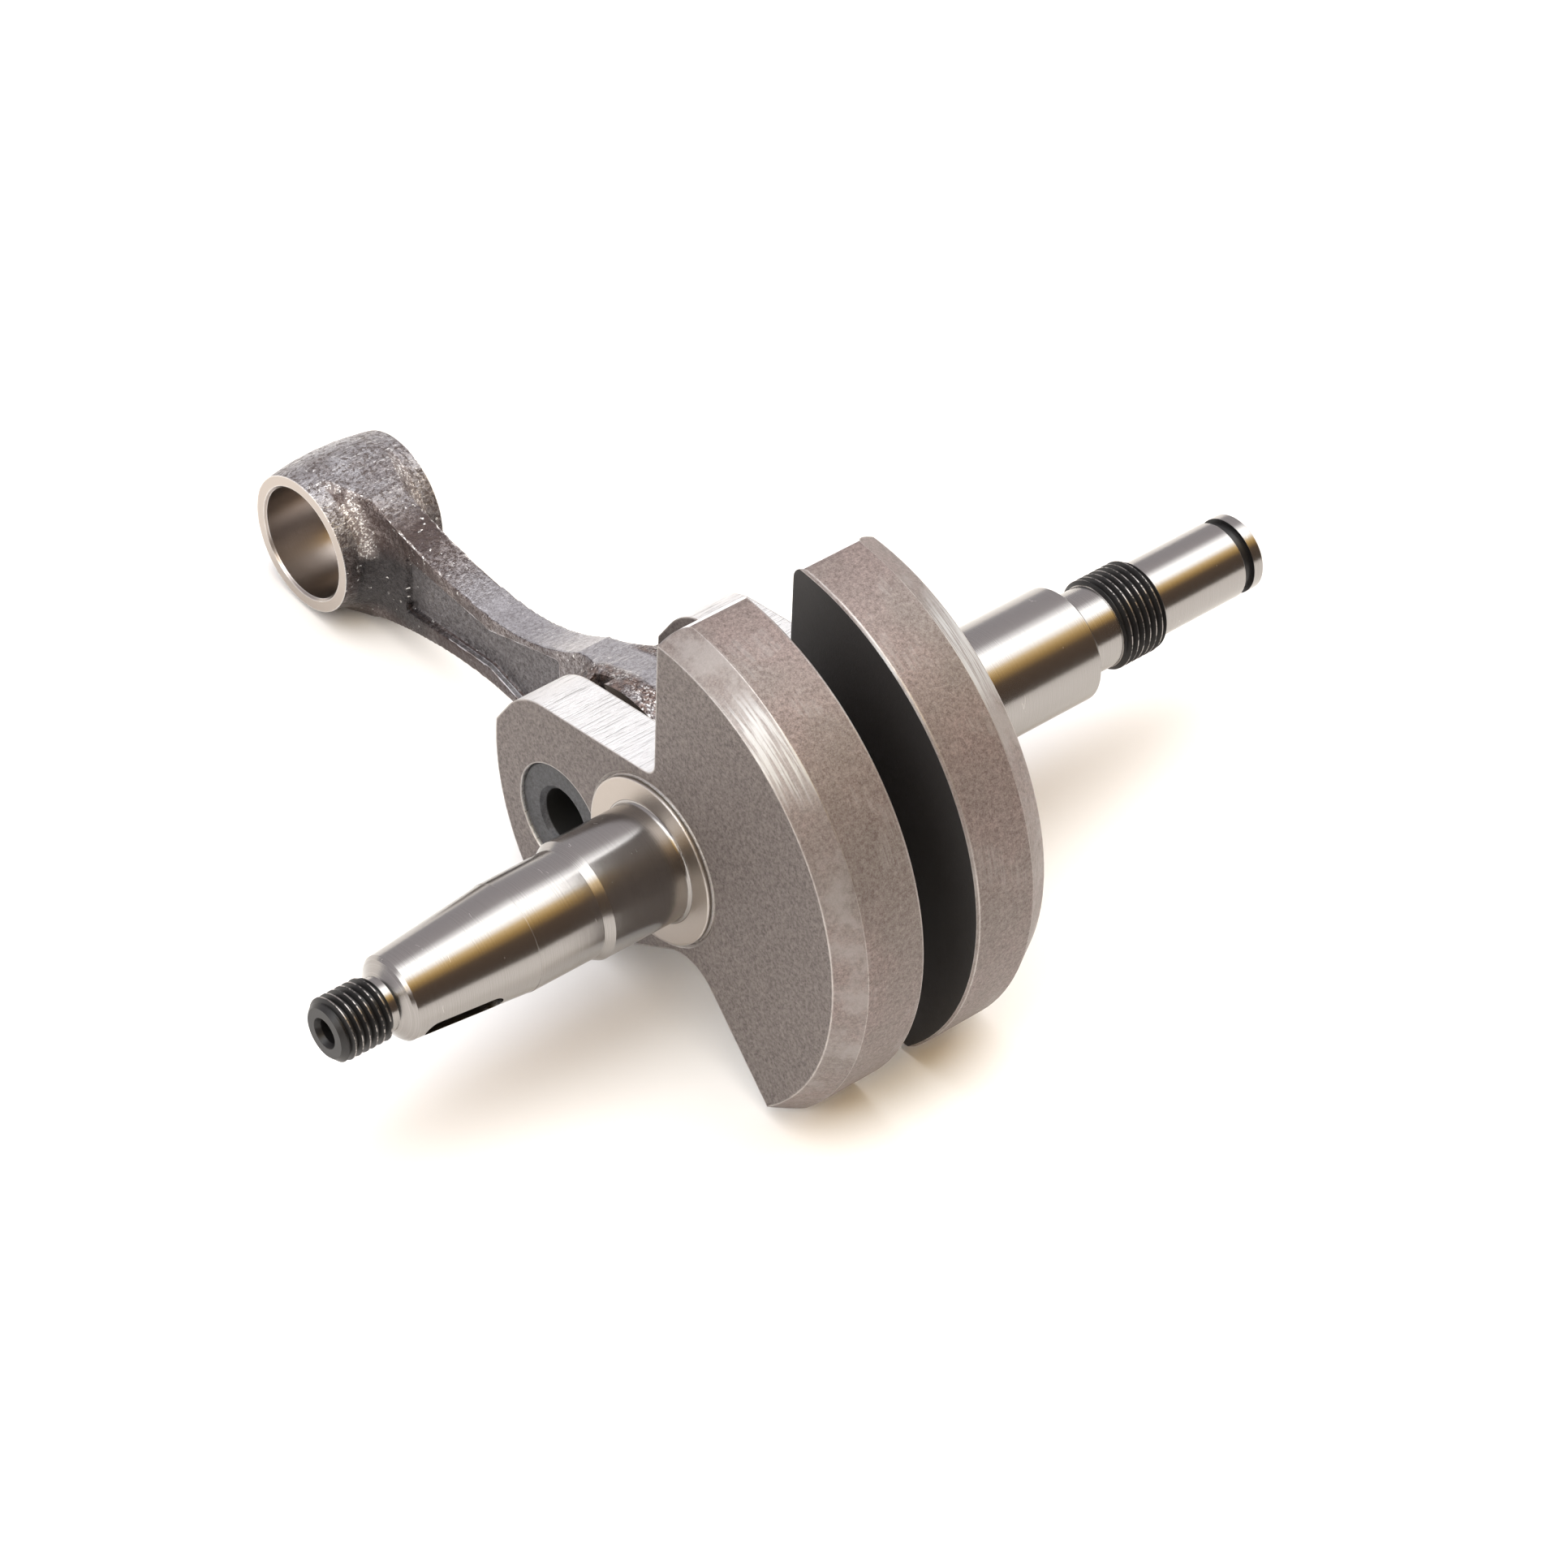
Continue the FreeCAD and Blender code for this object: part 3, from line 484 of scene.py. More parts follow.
class Coat:
    """A surface that is covered zone by zone with metals, then handed to one shader."""

    def __init__(self, graph: Graph, ground: Metal) -> None:
        """Start with one metal everywhere.

        Args:
            graph: The material's graph.
            ground: The metal under all zones.
        """
        self.g = graph
        self.colour: Feed = ground.colour
        self.roughness: Feed = ground.roughness
        self.metallic: Feed = ground.metallic
        self.height: Feed = 0.0

    def lay(self, mask: Feed, metal: Metal) -> None:
        """Cover a zone with a metal.

        Args:
            mask: Where the metal shows.
            metal: The metal.
        """
        self.colour = self.g.blend(mask, self.colour, metal.colour)
        self.roughness = self.g.lerp(mask, self.roughness, metal.roughness)
        self.metallic = self.g.lerp(mask, self.metallic, metal.metallic)

    def tint(self, mask: Feed, speckle: Feed, dark: Colour, light: Colour) -> None:
        """Colour a zone between two shades by a speckle value."""
        shade = self.g.blend(speckle, dark, light)
        self.colour = self.g.blend(mask, self.colour, shade)

    def carve(self, mask: Feed, height: Feed, depth_mm: float) -> None:
        """Add relief to a zone, its depth in millimetres."""
        scaled = self.g.math("MULTIPLY", height, depth_mm * MM)
        self.height = self.g.math("ADD", self.height, self.g.both(mask, scaled))

    def finish(self, rounding: Feed = 0.0) -> None:
        """Feed the shader and end the material; rounding softens edges, in millimetres.

        Args:
            rounding: Radius of the softened edges in millimetres, or zero.
        """
        shader = self.g.add("ShaderNodeBsdfPrincipled")
        output = self.g.add("ShaderNodeOutputMaterial")
        bump = self.g.add("ShaderNodeBump")
        bump.inputs["Distance"].default_value = 1.0
        self.g.feed(bump.inputs["Height"], self.height)
        if rounding:
            rounded = self.g.add("ShaderNodeBevel", samples=6)
            self.g.feed(rounded.inputs["Radius"], self.g.math("MULTIPLY", rounding, MM))
            self.g.feed(bump.inputs["Normal"], rounded.outputs[0])
        self.g.feed(shader.inputs["Base Color"], self.colour)
        self.g.feed(shader.inputs["Roughness"], self.roughness)
        self.g.feed(shader.inputs["Metallic"], self.metallic)
        self.g.feed(shader.inputs["Normal"], bump.outputs[0])
        self.g.feed(output.inputs["Surface"], shader.outputs[0])


def new_material(name: str) -> tuple[bpy.types.Material, Graph]:
    """Make an empty node material and the Graph that fills it.

    Args:
        name: The material's name.

    Returns:
        The material and its graph.
    """
    material = bpy.data.materials.new(name)
    material.use_nodes = True
    material.node_tree.nodes.clear()
    return material, Graph(material.node_tree)


# ---------------------------------------------------------------------------------------------
# Places
# ---------------------------------------------------------------------------------------------


@dataclass(frozen=True)
class RodPlace:
    """Where the connecting rod lies: its two centres, in metres."""

    pin: Vector
    small_end: Vector

    @property
    def angle(self) -> float:
        """The rod's turn about X from +Y, in radians."""
        run = self.small_end - self.pin
        return math.atan2(run.z, run.y)

    @property
    def length_mm(self) -> float:
        """The distance between the two bores."""
        return (self.small_end - self.pin).length / MM

    def at(self, end: End) -> Matrix:
        """The rod's own axes at one end, with +Y from the crankpin to the small end."""
        centre = self.pin if end is End.BIG else self.small_end
        return Matrix.Translation(centre) @ Matrix.Rotation(self.angle, 4, "X")

    def out_of(self, point: Vector) -> float:
        """How far along the rod a point is from the crankpin, in millimetres."""
        return (self.at(End.BIG).inverted() @ point).y / MM


@dataclass(frozen=True)
class RodEye:
    """One end of the rod, in millimetres."""

    end: End
    half_width: float
    radius: float
    bore: float
    facing_reach: float


# ---------------------------------------------------------------------------------------------
# Finishes
# ---------------------------------------------------------------------------------------------


@dataclass(frozen=True)
class CrankSizes:
    """Where the crank's zones begin and end, in millimetres from the middle plane or the axis."""

    web_inner: float = 4.0
    web_outer: float = 16.1
    shoulder: float = 16.7
    rim_radius: float = 33.9
    lobe_radius: float = 29.3
    flywheel_thread: tuple[float, float] = (56.5, 63.7)
    flywheel_crest: float = 4.0
    clutch_thread: tuple[float, float] = (53.25, 60.32)
    clutch_crest: float = 6.0
    clip_groove: tuple[float, float] = (74.08, 75.62)
    keyway: tuple[float, float] = (42.4, 53.2)


@dataclass(frozen=True)
class CrankFinish:
    """Blasted forging, milled lobe flanks, turned shoulders and ground shafts, with threads
    painted black as painted shade.
    """

    sizes: CrankSizes = field(default_factory=CrankSizes)
    face: Metal = Metal((0.150, 0.128, 0.120), 0.6, 0.35)
    face_dark: Colour = (0.078, 0.066, 0.062)
    face_light: Colour = (0.205, 0.178, 0.168)
    # painted shade: near-black colour for the web faces inside the gap between the webs
    inner: Metal = Metal((0.026, 0.024, 0.024), 0.6, 0.2)
    rim_dark: Colour = (0.112, 0.086, 0.080)
    rim_pink: Colour = (0.275, 0.220, 0.210)
    rim_grey: Colour = (0.235, 0.208, 0.194)
    chamfer: Metal = Metal((0.300, 0.280, 0.272), 0.48, 0.5)
    witness: Metal = Metal((0.47, 0.48, 0.49), 0.42, 0.6)
    milled: Metal = Metal((0.80, 0.80, 0.80), 0.42)
    milled_groove: Metal = Metal((0.38, 0.38, 0.38), 0.5)
    tip: Metal = Metal((0.74, 0.75, 0.76), 0.5, 0.15)
    boss: Metal = Metal((0.42, 0.375, 0.335), 0.36)
    ground: Metal = Metal((0.345, 0.330, 0.318), 0.2)
    ground_dull: Colour = (0.262, 0.250, 0.240)
    # painted shade: black for the thread roots, clip groove, keyway and centre hole
    recess_shade: Metal = Metal((0.010, 0.0095, 0.010), 0.42, 0.2)
    crest: Metal = Metal((0.30, 0.28, 0.27), 0.3)
    bright: Metal = Metal((0.56, 0.53, 0.51), 0.3)

    def build(self, kit: SurfaceKit, centre: Vector, lean: float) -> bpy.types.Material:
        """Make the material of both crank halves.

        Args:
            kit: The shared shader groups.
            centre: The crank axis at the middle plane, in metres.
            lean: The crankpin's angle about the axis, in radians.

        Returns:
            The material.
        """
        material, g = new_material("crank_forging_and_ground_shafts")
        space = g.group(kit.space, Centre=centre, Turn=lean)
        place = space.outputs["Place"]
        along = space.outputs["Along"]
        radius = space.outputs["Radius"]
        facing = space.outputs["Facing"]
        out = space.outputs["Out"]
        distance = g.math("ABSOLUTE", along)
        zones = self.zones(g, along, distance, radius, facing, out)

        coat = Coat(g, self.face)
        self.blast(coat, kit, place, zones)
        rings = g.group(kit.lines, Across=along, Vector=place, Pitch=0.09).outputs["Height"]
        circles = g.group(kit.lines, Across=radius, Vector=place, Pitch=0.16).outputs["Height"]
        self.turn_rim(coat, place, rings, zones, space.outputs["Up"])
        self.mill(coat, place, zones["milled"])
        coat.lay(zones["tip"], self.tip)
        coat.lay(zones["boss"], self.boss)
        coat.carve(zones["boss"], circles, 0.010)
        self.grind(coat, kit, place, rings, zones["shaft"])
        edge = g.group(kit.edges, Vector=place, Width=0.35, Break=0.45).outputs["Mask"]
        coat.lay(g.both(g.without(zones["shaft"]), g.without(zones["inner"]), edge), self.bright)
        self.blacken(coat, place, zones)
        rounding = g.lerp(g.above(radius, 10.0), 0.06, 0.45)
        coat.finish(rounding)
        return material

    def blast(self, coat: Coat, kit: SurfaceKit, place: Feed, zones: dict[str, Feed]) -> None:
        """Blasted grain on the web faces and rims, with the faces inside the gap painted near
        black as painted shade.

        Args:
            coat: The surface.
            kit: The shared shader groups.
            place: Millimetre coordinates.
            zones: The crank's masks.
        """
        g = coat.g
        fine = g.group(kit.grain, Vector=place, Size=0.2, Contrast=1.5)
        coat.tint(1.0, fine.outputs["Speckle"], self.face_dark, self.face_light)
        sand = g.group(kit.grain, Vector=place, Size=0.18, Contrast=1.5)
        cloud = g.rise(g.noise(place, 0.07, 4.0, 0.6), 0.36, 0.64)
        light = g.blend(cloud, self.rim_grey, self.rim_pink)
        skin = g.either(zones["rim"], zones["chamfer"])
        coat.tint(skin, sand.outputs["Speckle"], self.rim_dark, light)
        coat.roughness = g.lerp(skin, coat.roughness, 0.5)
        coat.carve(g.without(zones["shaft"]), fine.outputs["Height"], 0.045)
        coat.carve(zones["rim"], sand.outputs["Height"], 0.05)
        # painted shade: the web faces inside the gap are painted near black
        coat.lay(zones["inner"], self.inner)

    def turn_rim(self, coat: Coat, place: Feed, rings: Feed, zones: dict[str, Feed],
                 up: Feed) -> None:
        """Chamfers rubbed bright in places, most of all at their upper end.

        Args:
            coat: The surface.
            place: Millimetre coordinates.
            rings: Turning marks along the axis.
            zones: The crank's masks.
            up: Height across the crankpin direction.
        """
        g = coat.g
        rubbed = g.rise(g.noise(place, 0.13, 4.0, 0.65), 0.44, 0.62)
        streaks = g.rise(g.noise(g.scale(place, (3.0, 0.12, 0.12)), 1.0, 3.0), 0.42, 0.6)
        upper = g.both(g.rise(up, 13.0, 18.0), g.rise(up, 27.0, 23.0))
        coat.lay(g.both(zones["chamfer"], g.lerp(rubbed, 0.10, 0.7)), self.chamfer)
        coat.lay(g.both(zones["chamfer"], upper, g.lerp(streaks, 0.25, 0.9)), self.witness)
        coat.lay(g.both(zones["rim"], streaks, g.rise(rubbed, 0.6, 1.0), 0.35), self.chamfer)
        coat.carve(zones["chamfer"], rings, 0.02)

    def mill(self, coat: Coat, place: Feed, zone: Feed) -> None:
        """Silvery cutter marks that run along the axis.

        Args:
            coat: The surface.
            place: Millimetre coordinates.
            zone: The finish's mask.
        """
        g = coat.g
        marks = g.noise(g.scale(place, (0.03, 1.0, 1.0)), 4.5, 4.0, 0.75)
        coat.lay(zone, self.milled)
        coat.lay(g.both(zone, g.rise(marks, 0.47, 0.37)), self.milled_groove)
        coat.carve(zone, marks, 0.10)

    def grind(self, coat: Coat, kit: SurfaceKit, place: Feed, rings: Feed, zone: Feed) -> None:
        """Fine wheel lines and a few scratches on the shafts.

        Args:
            coat: The surface.
            kit: The shared shader groups.
            place: Millimetre coordinates.
            rings: Turning marks along the axis.
            zone: The finish's mask.
        """
        g = coat.g
        coat.lay(zone, self.ground)
        coat.tint(zone, g.rise(rings, 0.35, 0.65), self.ground_dull, self.ground.colour)
        coat.carve(zone, rings, 0.0045)
        nicks = g.group(kit.nicks, Vector=place, Amount=0.5).outputs["Mask"]
        coat.lay(g.both(zone, nicks), self.bright)

    def blacken(self, coat: Coat, place: Feed, zones: dict[str, Feed]) -> None:
        """Paint black into the threads, clip groove, keyway and centre hole as painted shade,
        with the crests left steel in broken patches and the first clutch crest painted bright as
        a painted highlight.

        Args:
            coat: The surface.
            place: Millimetre coordinates.
            zones: The crank's masks.
        """
        g = coat.g
        # painted shade: black over the threads, clip groove, keyway and centre hole
        coat.lay(zones["recess_shade"], self.recess_shade)
        rubbed = g.rise(g.noise(place, 1.1, 3.0, 0.7), 0.42, 0.56)
        coat.lay(g.both(zones["crest"], g.either(rubbed, zones["first_crest"])), self.crest)
        # painted highlight: the first crest of the clutch thread is painted bright
        coat.lay(zones["first_crest"], self.bright)

    def zones(self, g: Graph, along: Feed, distance: Feed, radius: Feed, facing: Feed,
              out: Feed) -> dict[str, Feed]:
        """Masks of the crank's differently made surfaces and of its painted shade, by name.

        Args:
            g: The material's graph.
            along: Distance along the axis.
            distance: Its absolute value.
            radius: Distance from the axis.
            facing: How far a surface faces along the axis.
            out: Distance towards the crankpin.

        Returns:
            The masks by name.
        """
        size = self.sizes
        web = g.below(distance, size.web_outer + 0.05)
        upright = g.below(facing, 0.2)
        rim = g.both(web, upright, g.above(radius, size.rim_radius - 0.12))
        lobe_rim = g.both(web, upright, g.above(radius, size.lobe_radius - 0.12),
                          g.above(out, 15.0))
        any_rim = g.either(rim, lobe_rim)
        chamfer = g.both(web, g.between(facing, 0.2, 0.9), g.above(radius, 30.0))
        milled = g.both(web, upright, g.without(any_rim))
        tip = g.both(milled, g.above(radius, size.rim_radius - 3.4), g.below(out, 0.0))
        boss = g.both(g.above(distance, size.web_outer + 0.03),
                      g.below(distance, size.shoulder + 0.02), g.above(radius, 7.9))
        shaft = g.above(distance, size.shoulder + 0.02)
        flywheel_side = g.below(along, 0.0)
        clutch_side = g.above(along, 0.0)
        flywheel_thread = g.both(flywheel_side, g.between(distance, *size.flywheel_thread))
        clutch_thread = g.both(clutch_side, g.between(distance, *size.clutch_thread),
                               g.above(radius, size.clutch_crest - 0.75))
        clip = g.both(clutch_side, g.between(distance, *size.clip_groove),
                      g.below(radius, 4.96))
        slot = g.both(flywheel_side, g.between(distance, *size.keyway),
                      g.below(radius, 5.2))
        centre_hole = g.both(g.above(distance, 55.0), g.below(radius, 1.93))
        clutch_crest = g.both(clutch_thread, g.above(radius, size.clutch_crest - 0.03))
        flywheel_crest = g.both(flywheel_thread, g.above(radius, size.flywheel_crest - 0.04))
        return {
            # web faces inside the gap, which get painted shade
            "inner": g.both(g.below(distance, size.web_inner + 0.05), g.above(facing, 0.9)),
            "rim": any_rim, "chamfer": chamfer, "milled": milled, "tip": tip, "boss": boss,
            "shaft": shaft,
            # painted shade in the threads, clip groove, keyway and centre hole
            "recess_shade": g.either(flywheel_thread, clutch_thread, clip, slot, centre_hole),
            "crest": g.either(flywheel_crest, clutch_crest),
            # first clutch crest, which gets a painted highlight
            "first_crest": g.both(clutch_crest, g.below(along, size.clutch_thread[0] + 0.3)),
        }


@dataclass(frozen=True)
class PinFinish:
    """Charcoal hardened steel of the crankpin's ends, with the bore painted near black as painted
    shade.
    """

    body: Metal = Metal((0.045, 0.045, 0.048), 0.46, 0.5)
    light: Colour = (0.065, 0.066, 0.072)
    dark: Colour = (0.022, 0.022, 0.024)
    # painted shade: near-black colour inside the hollow pin's bore
    bore: Metal = Metal((0.006, 0.006, 0.006), 0.6, 0.1)

    def build(self, kit: SurfaceKit, centre: Vector) -> bpy.types.Material:
        """Make the crankpin's material about its own axis.

        Args:
            kit: The shared shader groups.
            centre: The crankpin, in metres.

        Returns:
            The material.
        """
        material, g = new_material("blackened_crankpin")
        space = g.group(kit.space, Centre=centre)
        place = space.outputs["Place"]
        coat = Coat(g, self.body)
        grain = g.group(kit.grain, Vector=place, Size=0.22, Contrast=1.3)
        coat.tint(1.0, grain.outputs["Speckle"], self.dark, self.light)
        circles = g.group(kit.lines, Across=space.outputs["Radius"], Vector=place, Pitch=0.2)
        coat.carve(1.0, circles.outputs["Height"], 0.012)
        coat.carve(1.0, grain.outputs["Height"], 0.012)
        # painted shade: the bore inside the hollow pin is painted near black
        coat.lay(g.below(space.outputs["Radius"], 3.86), self.bore)
        coat.finish(rounding=0.1)
        return material


@dataclass(frozen=True)
class BearingFinish:
    """Satin cage and polished needles."""

    cage: Metal = Metal((0.34, 0.32, 0.29), 0.38)
    needle: Metal = Metal((0.55, 0.55, 0.56), 0.12)

    def build_cage(self, kit: SurfaceKit, centre: Vector) -> bpy.types.Material:
        """Make the cage's material."""
        return self.build(kit, centre, "bearing_cage", self.cage, 0.015)

    def build_needle(self, kit: SurfaceKit, centre: Vector) -> bpy.types.Material:
        """Make the needles' material."""
        return self.build(kit, centre, "bearing_needles", self.needle, 0.002)

    def build(self, kit: SurfaceKit, centre: Vector, name: str, metal: Metal,
              depth_mm: float) -> bpy.types.Material:
        """Make a turned metal with faint grain and softened edges.

        Args:
            kit: The shared shader groups.
            centre: The crankpin, in metres.
            name: The material's name.
            metal: The metal.
            depth_mm: The depth of the turning marks.

        Returns:
            The material.
        """
        material, g = new_material(name)
        space = g.group(kit.space, Centre=centre)
        place = space.outputs["Place"]
        coat = Coat(g, metal)
        rings = g.group(kit.lines, Across=space.outputs["Along"], Vector=place, Pitch=0.12)
        grain = g.group(kit.grain, Vector=place, Size=0.3, Contrast=0.8)
        shade = tuple(0.8 * part for part in metal.colour)
        coat.tint(1.0, grain.outputs["Speckle"], shade, metal.colour)
        coat.carve(1.0, rings.outputs["Height"], depth_mm)
        coat.finish(rounding=0.05)
        return material


@dataclass(frozen=True)
class RodFinish:
    """Scaled forging with ground end faces, a honed small bore and dark shank pockets."""

    scale: Metal = Metal((0.14, 0.12, 0.12), 0.36, 0.85)
    mauve: Colour = (0.055, 0.039, 0.037)
    grey: Colour = (0.235, 0.205, 0.200)
    steel_blue: Colour = (0.430, 0.425, 0.450)
    flange_dark: Colour = (0.250, 0.240, 0.250)
    rust: Colour = (0.230, 0.150, 0.120)
    rust_dark: Colour = (0.035, 0.022, 0.020)
    # painted shade: dark colours for the recess where the shank runs into the small end
    hollow: Colour = (0.040, 0.036, 0.038)
    hollow_dark: Colour = (0.008, 0.007, 0.008)
    # painted highlight: pale colour for the upper shoulder where the flange meets the small end
    highlight_band_light: Colour = (0.640, 0.620, 0.620)
    fleck: Metal = Metal((0.050, 0.034, 0.030), 0.5, 0.4)
    sparkle: Metal = Metal((0.75, 0.74, 0.73), 0.25)
    pocket_dark: Colour = (0.062, 0.056, 0.057)
    pocket_light: Colour = (0.190, 0.182, 0.190)
    face: Metal = Metal((0.42, 0.375, 0.34), 0.34)
    bore: Metal = Metal((0.34, 0.30, 0.275), 0.28)

    def build(self, kit: SurfaceKit, rod: RodPlace) -> bpy.types.Material:
        """Make the rod's material.

        Args:
            kit: The shared shader groups.
            rod: Where the rod lies.

        Returns:
            The material.
        """
        material, g = new_material("forged_rod_scale")
        space = g.group(kit.space, Centre=rod.pin, Turn=rod.angle)
        small = g.group(kit.space, Centre=rod.small_end, Turn=rod.angle)
        place = space.outputs["Place"]
        zones = self.zones(g, space, small, rod.length_mm / 2)
        grain = g.group(kit.grain, Vector=place, Size=0.2, Contrast=2.4)
        patch = g.rise(g.noise(place, 0.16, 4.0, 0.6), 0.38, 0.62)
        scratches = g.rise(g.noise(g.scale(place, (0.25, 2.2, 2.2)), 1.3, 4.0, 0.7), 0.56, 0.66)

        coat = Coat(g, self.scale)
        skin = g.blend(patch, self.mauve, self.grey)
        # painted highlight: near the big end the rod is tinted partly towards pale steel
        skin = g.blend(g.either(zones["flange"], zones["lit_near_big_end"]), skin, self.steel_blue)
        coat.tint(1.0, grain.outputs["Speckle"], self.mauve, skin)
        smooth = g.rise(zones["flange"], 0.2, 0.9)
        coat.tint(smooth, grain.outputs["Speckle"], self.flange_dark, self.steel_blue)
        coat.lay(g.both(smooth, scratches, 0.5), self.sparkle)
        rough = g.without(g.both(smooth, 0.75))
        lumps = g.group(kit.grain, Vector=place, Size=0.6, Contrast=2.0)
        coat.carve(rough, lumps.outputs["Height"], 0.26)
        coat.carve(rough, grain.outputs["Height"], 0.16)
        rust = g.both(zones["ring"], g.rise(g.noise(place, 0.45, 4.0, 0.65), 0.42, 0.58))
        coat.tint(g.both(rust, 0.8), grain.outputs["Speckle"], self.rust_dark, self.rust)
        self.paint_small_end_light_shade_and_flecks(coat, place, grain.outputs["Speckle"], patch, scratches, zones)
        self.glitter(coat, place, zones["highlight_band"], zones["ring"])
        self.line_pockets(coat, kit, place, zones["pocket"])
        self.machine(coat, kit, space, small, zones)
        coat.finish()
        return material

    def zones(self, g: Graph, space: bpy.types.Node, small: bpy.types.Node,
              middle: float) -> dict[str, Feed]:
        """Masks of the rod's differently coloured and machined surfaces, and of its painted light
        and shade.

        Args:
            g: The material's graph.
            space: Coordinates about the crankpin.
            small: Coordinates about the small end.
            middle: Half the distance between the bores.

        Returns:
            The masks by name.
        """
        out = space.outputs["Out"]
        up = space.outputs["Up"]
        radius = space.outputs["Radius"]
        facing = space.outputs["Facing"]
        across = g.math("ABSOLUTE", space.outputs["Along"])
        by_small_end = g.above(out, middle)
        by_big_end = g.without(by_small_end)
        ring = g.both(g.rise(radius, 15.5, 13.8), g.rise(across, 1.6, 3.0))
        small_face = g.both(by_small_end, g.above(across, 7.56), g.above(facing, 0.9))
        big_face = g.both(by_big_end, g.above(across, 5.76), g.above(facing, 0.9),
                          g.below(radius, 14.2))
        small_bore = g.both(by_small_end, g.below(small.outputs["Radius"], 7.83))
        big_bore = g.both(by_big_end, g.below(radius, 10.33))
        return {
            "ring": ring,
            "flange": g.both(g.rise(facing, 0.55, 0.25), g.rise(out, 50.0, 24.0),
                             g.without(ring)),
            # painted highlight: paler towards the big end
            "lit_near_big_end": g.rise(out, 44.0, 14.0, 0.0, 0.35),
            # painted light: the upper side of the small end's outer surface
            "barrel": g.both(g.rise(out, 48.0, 57.0), g.rise(up, 0.0, 6.0),
                             g.rise(facing, 0.3, 0.15)),
            "flecked": g.rise(out, 30.0, 46.0),
            # painted shade: the recess where the shank runs into the small end
            "hollow": g.both(g.rise(out, 38.0, 47.0), g.rise(facing, 0.06, 0.22),
                             g.rise(up, 5.0, 1.5), g.rise(up, -8.0, -5.0)),
            # painted highlight: upper shoulder where the flange meets the small end
            "highlight_band": g.both(g.rise(facing, 0.15, 0.3), g.rise(facing, 0.85, 0.6),
                           g.rise(up, 1.5, 3.0), g.rise(out, 38.0, 42.0),
                           g.rise(out, 62.0, 58.0)),
            "pocket": g.both(g.above(facing, 0.75), g.rise(across, 2.1, 1.7),
                             g.rise(out, 50.0, 42.0)),
            "faces": g.either(small_face, big_face),
            "bores": g.either(small_bore, big_bore),
            "outer": g.above(across, 7.3),
        }

    def paint_small_end_light_shade_and_flecks(self, coat: Coat, place: Feed, speckle: Feed, patch: Feed,
                      scratches: Feed, zones: dict[str, Feed]) -> None:
        """Paint the upper side of the small end lighter as painted light, fleck it dark and paint
        the recess beside it near black as painted shade.

        Args:
            coat: The rod's surface.
            place: Millimetre coordinates.
            speckle: The forging's grain.
            patch: Broad clouds over the rod.
            scratches: Lines along the crank axis.
            zones: The rod's masks.
        """
        g = coat.g
        barrel = zones["barrel"]
        # painted light: the small end's upper side is tinted pale steel, with bright scratch
        # streaks
        coat.tint(g.both(barrel, g.lerp(patch, 1.0, 0.35)), speckle, self.flange_dark,
                  self.steel_blue)
        coat.lay(g.both(barrel, scratches, 0.6), self.sparkle)
        flecks = g.rise(g.noise(g.bend(place, 1.5, 0.8), 1.7, 4.0, 0.7), 0.52, 0.58)
        coat.lay(g.both(flecks, zones["flecked"], 0.8), self.fleck)
        # painted shade: the recess beside the small end is painted near black, less metallic
        coat.tint(g.both(zones["hollow"], 0.94), speckle, self.hollow_dark, self.hollow)
        coat.metallic = g.lerp(zones["hollow"], coat.metallic, 0.5)

    def line_pockets(self, coat: Coat, kit: SurfaceKit, place: Feed, pocket: Feed) -> None:
        """Give the pockets' floors a finer, darker grain.

        Args:
            coat: The rod's surface.
            kit: The shared shader groups.
            place: Millimetre coordinates.
            pocket: Mask of the pockets' floors.
        """
        grain = coat.g.group(kit.grain, Vector=place, Size=0.25, Contrast=1.7)
        coat.tint(pocket, grain.outputs["Speckle"], self.pocket_dark, self.pocket_light)
        coat.roughness = coat.g.lerp(pocket, coat.roughness, 0.5)

    def machine(self, coat: Coat, kit: SurfaceKit, space: bpy.types.Node,
                small: bpy.types.Node, zones: dict[str, Feed]) -> None:
        """Ground end faces, honed bores and worn edges.

        Args:
            coat: The rod's surface.
            kit: The shared shader groups.
            space: Coordinates about the crankpin.
            small: Coordinates about the small end.
            zones: The rod's masks.
        """
        g = coat.g
        place = space.outputs["Place"]
        machined = g.either(zones["faces"], zones["bores"])
        coat.height = g.both(g.without(machined), coat.height)
        coat.lay(zones["faces"], self.face)
        coat.lay(zones["bores"], self.bore)
        circles = g.group(kit.lines, Across=small.outputs["Radius"], Vector=place, Pitch=0.14)
        honing = g.group(kit.lines, Across=space.outputs["Along"], Vector=place, Pitch=0.25)
        coat.carve(zones["faces"], circles.outputs["Height"], 0.008)
        coat.carve(zones["bores"], honing.outputs["Height"], 0.006)
        edge = g.group(kit.edges, Vector=place, Width=0.25, Break=0.4).outputs["Mask"]
        coat.lay(g.both(edge, g.either(machined, zones["outer"])), self.sparkle)

    def glitter(self, coat: Coat, place: Feed, highlight_band: Feed, ring: Feed) -> None:
        """Bright specks in the scale, thick on the big end's ring and on the upper shoulder,
        where a paler tint and dense specks are a painted highlight.

        Args:
            coat: The rod's surface.
            place: Millimetre coordinates.
            highlight_band: Mask of the painted highlight where the upper flange meets the small
                end.
            ring: Mask of the big end's ring.
        """
        g = coat.g
        cells = g.add("ShaderNodeTexVoronoi")
        g.feed(cells.inputs["Vector"], g.bend(place, 2.6, 0.9))
        g.feed(cells.inputs["Scale"], 2.6)
        chance = g.add("ShaderNodeSeparateColor")
        g.feed(chance.inputs[0], cells.outputs["Color"])
        spot = g.rise(cells.outputs["Distance"], 0.55, 0.25)
        patches = g.rise(g.noise(place, 0.3, 3.0, 0.6), 0.36, 0.52)
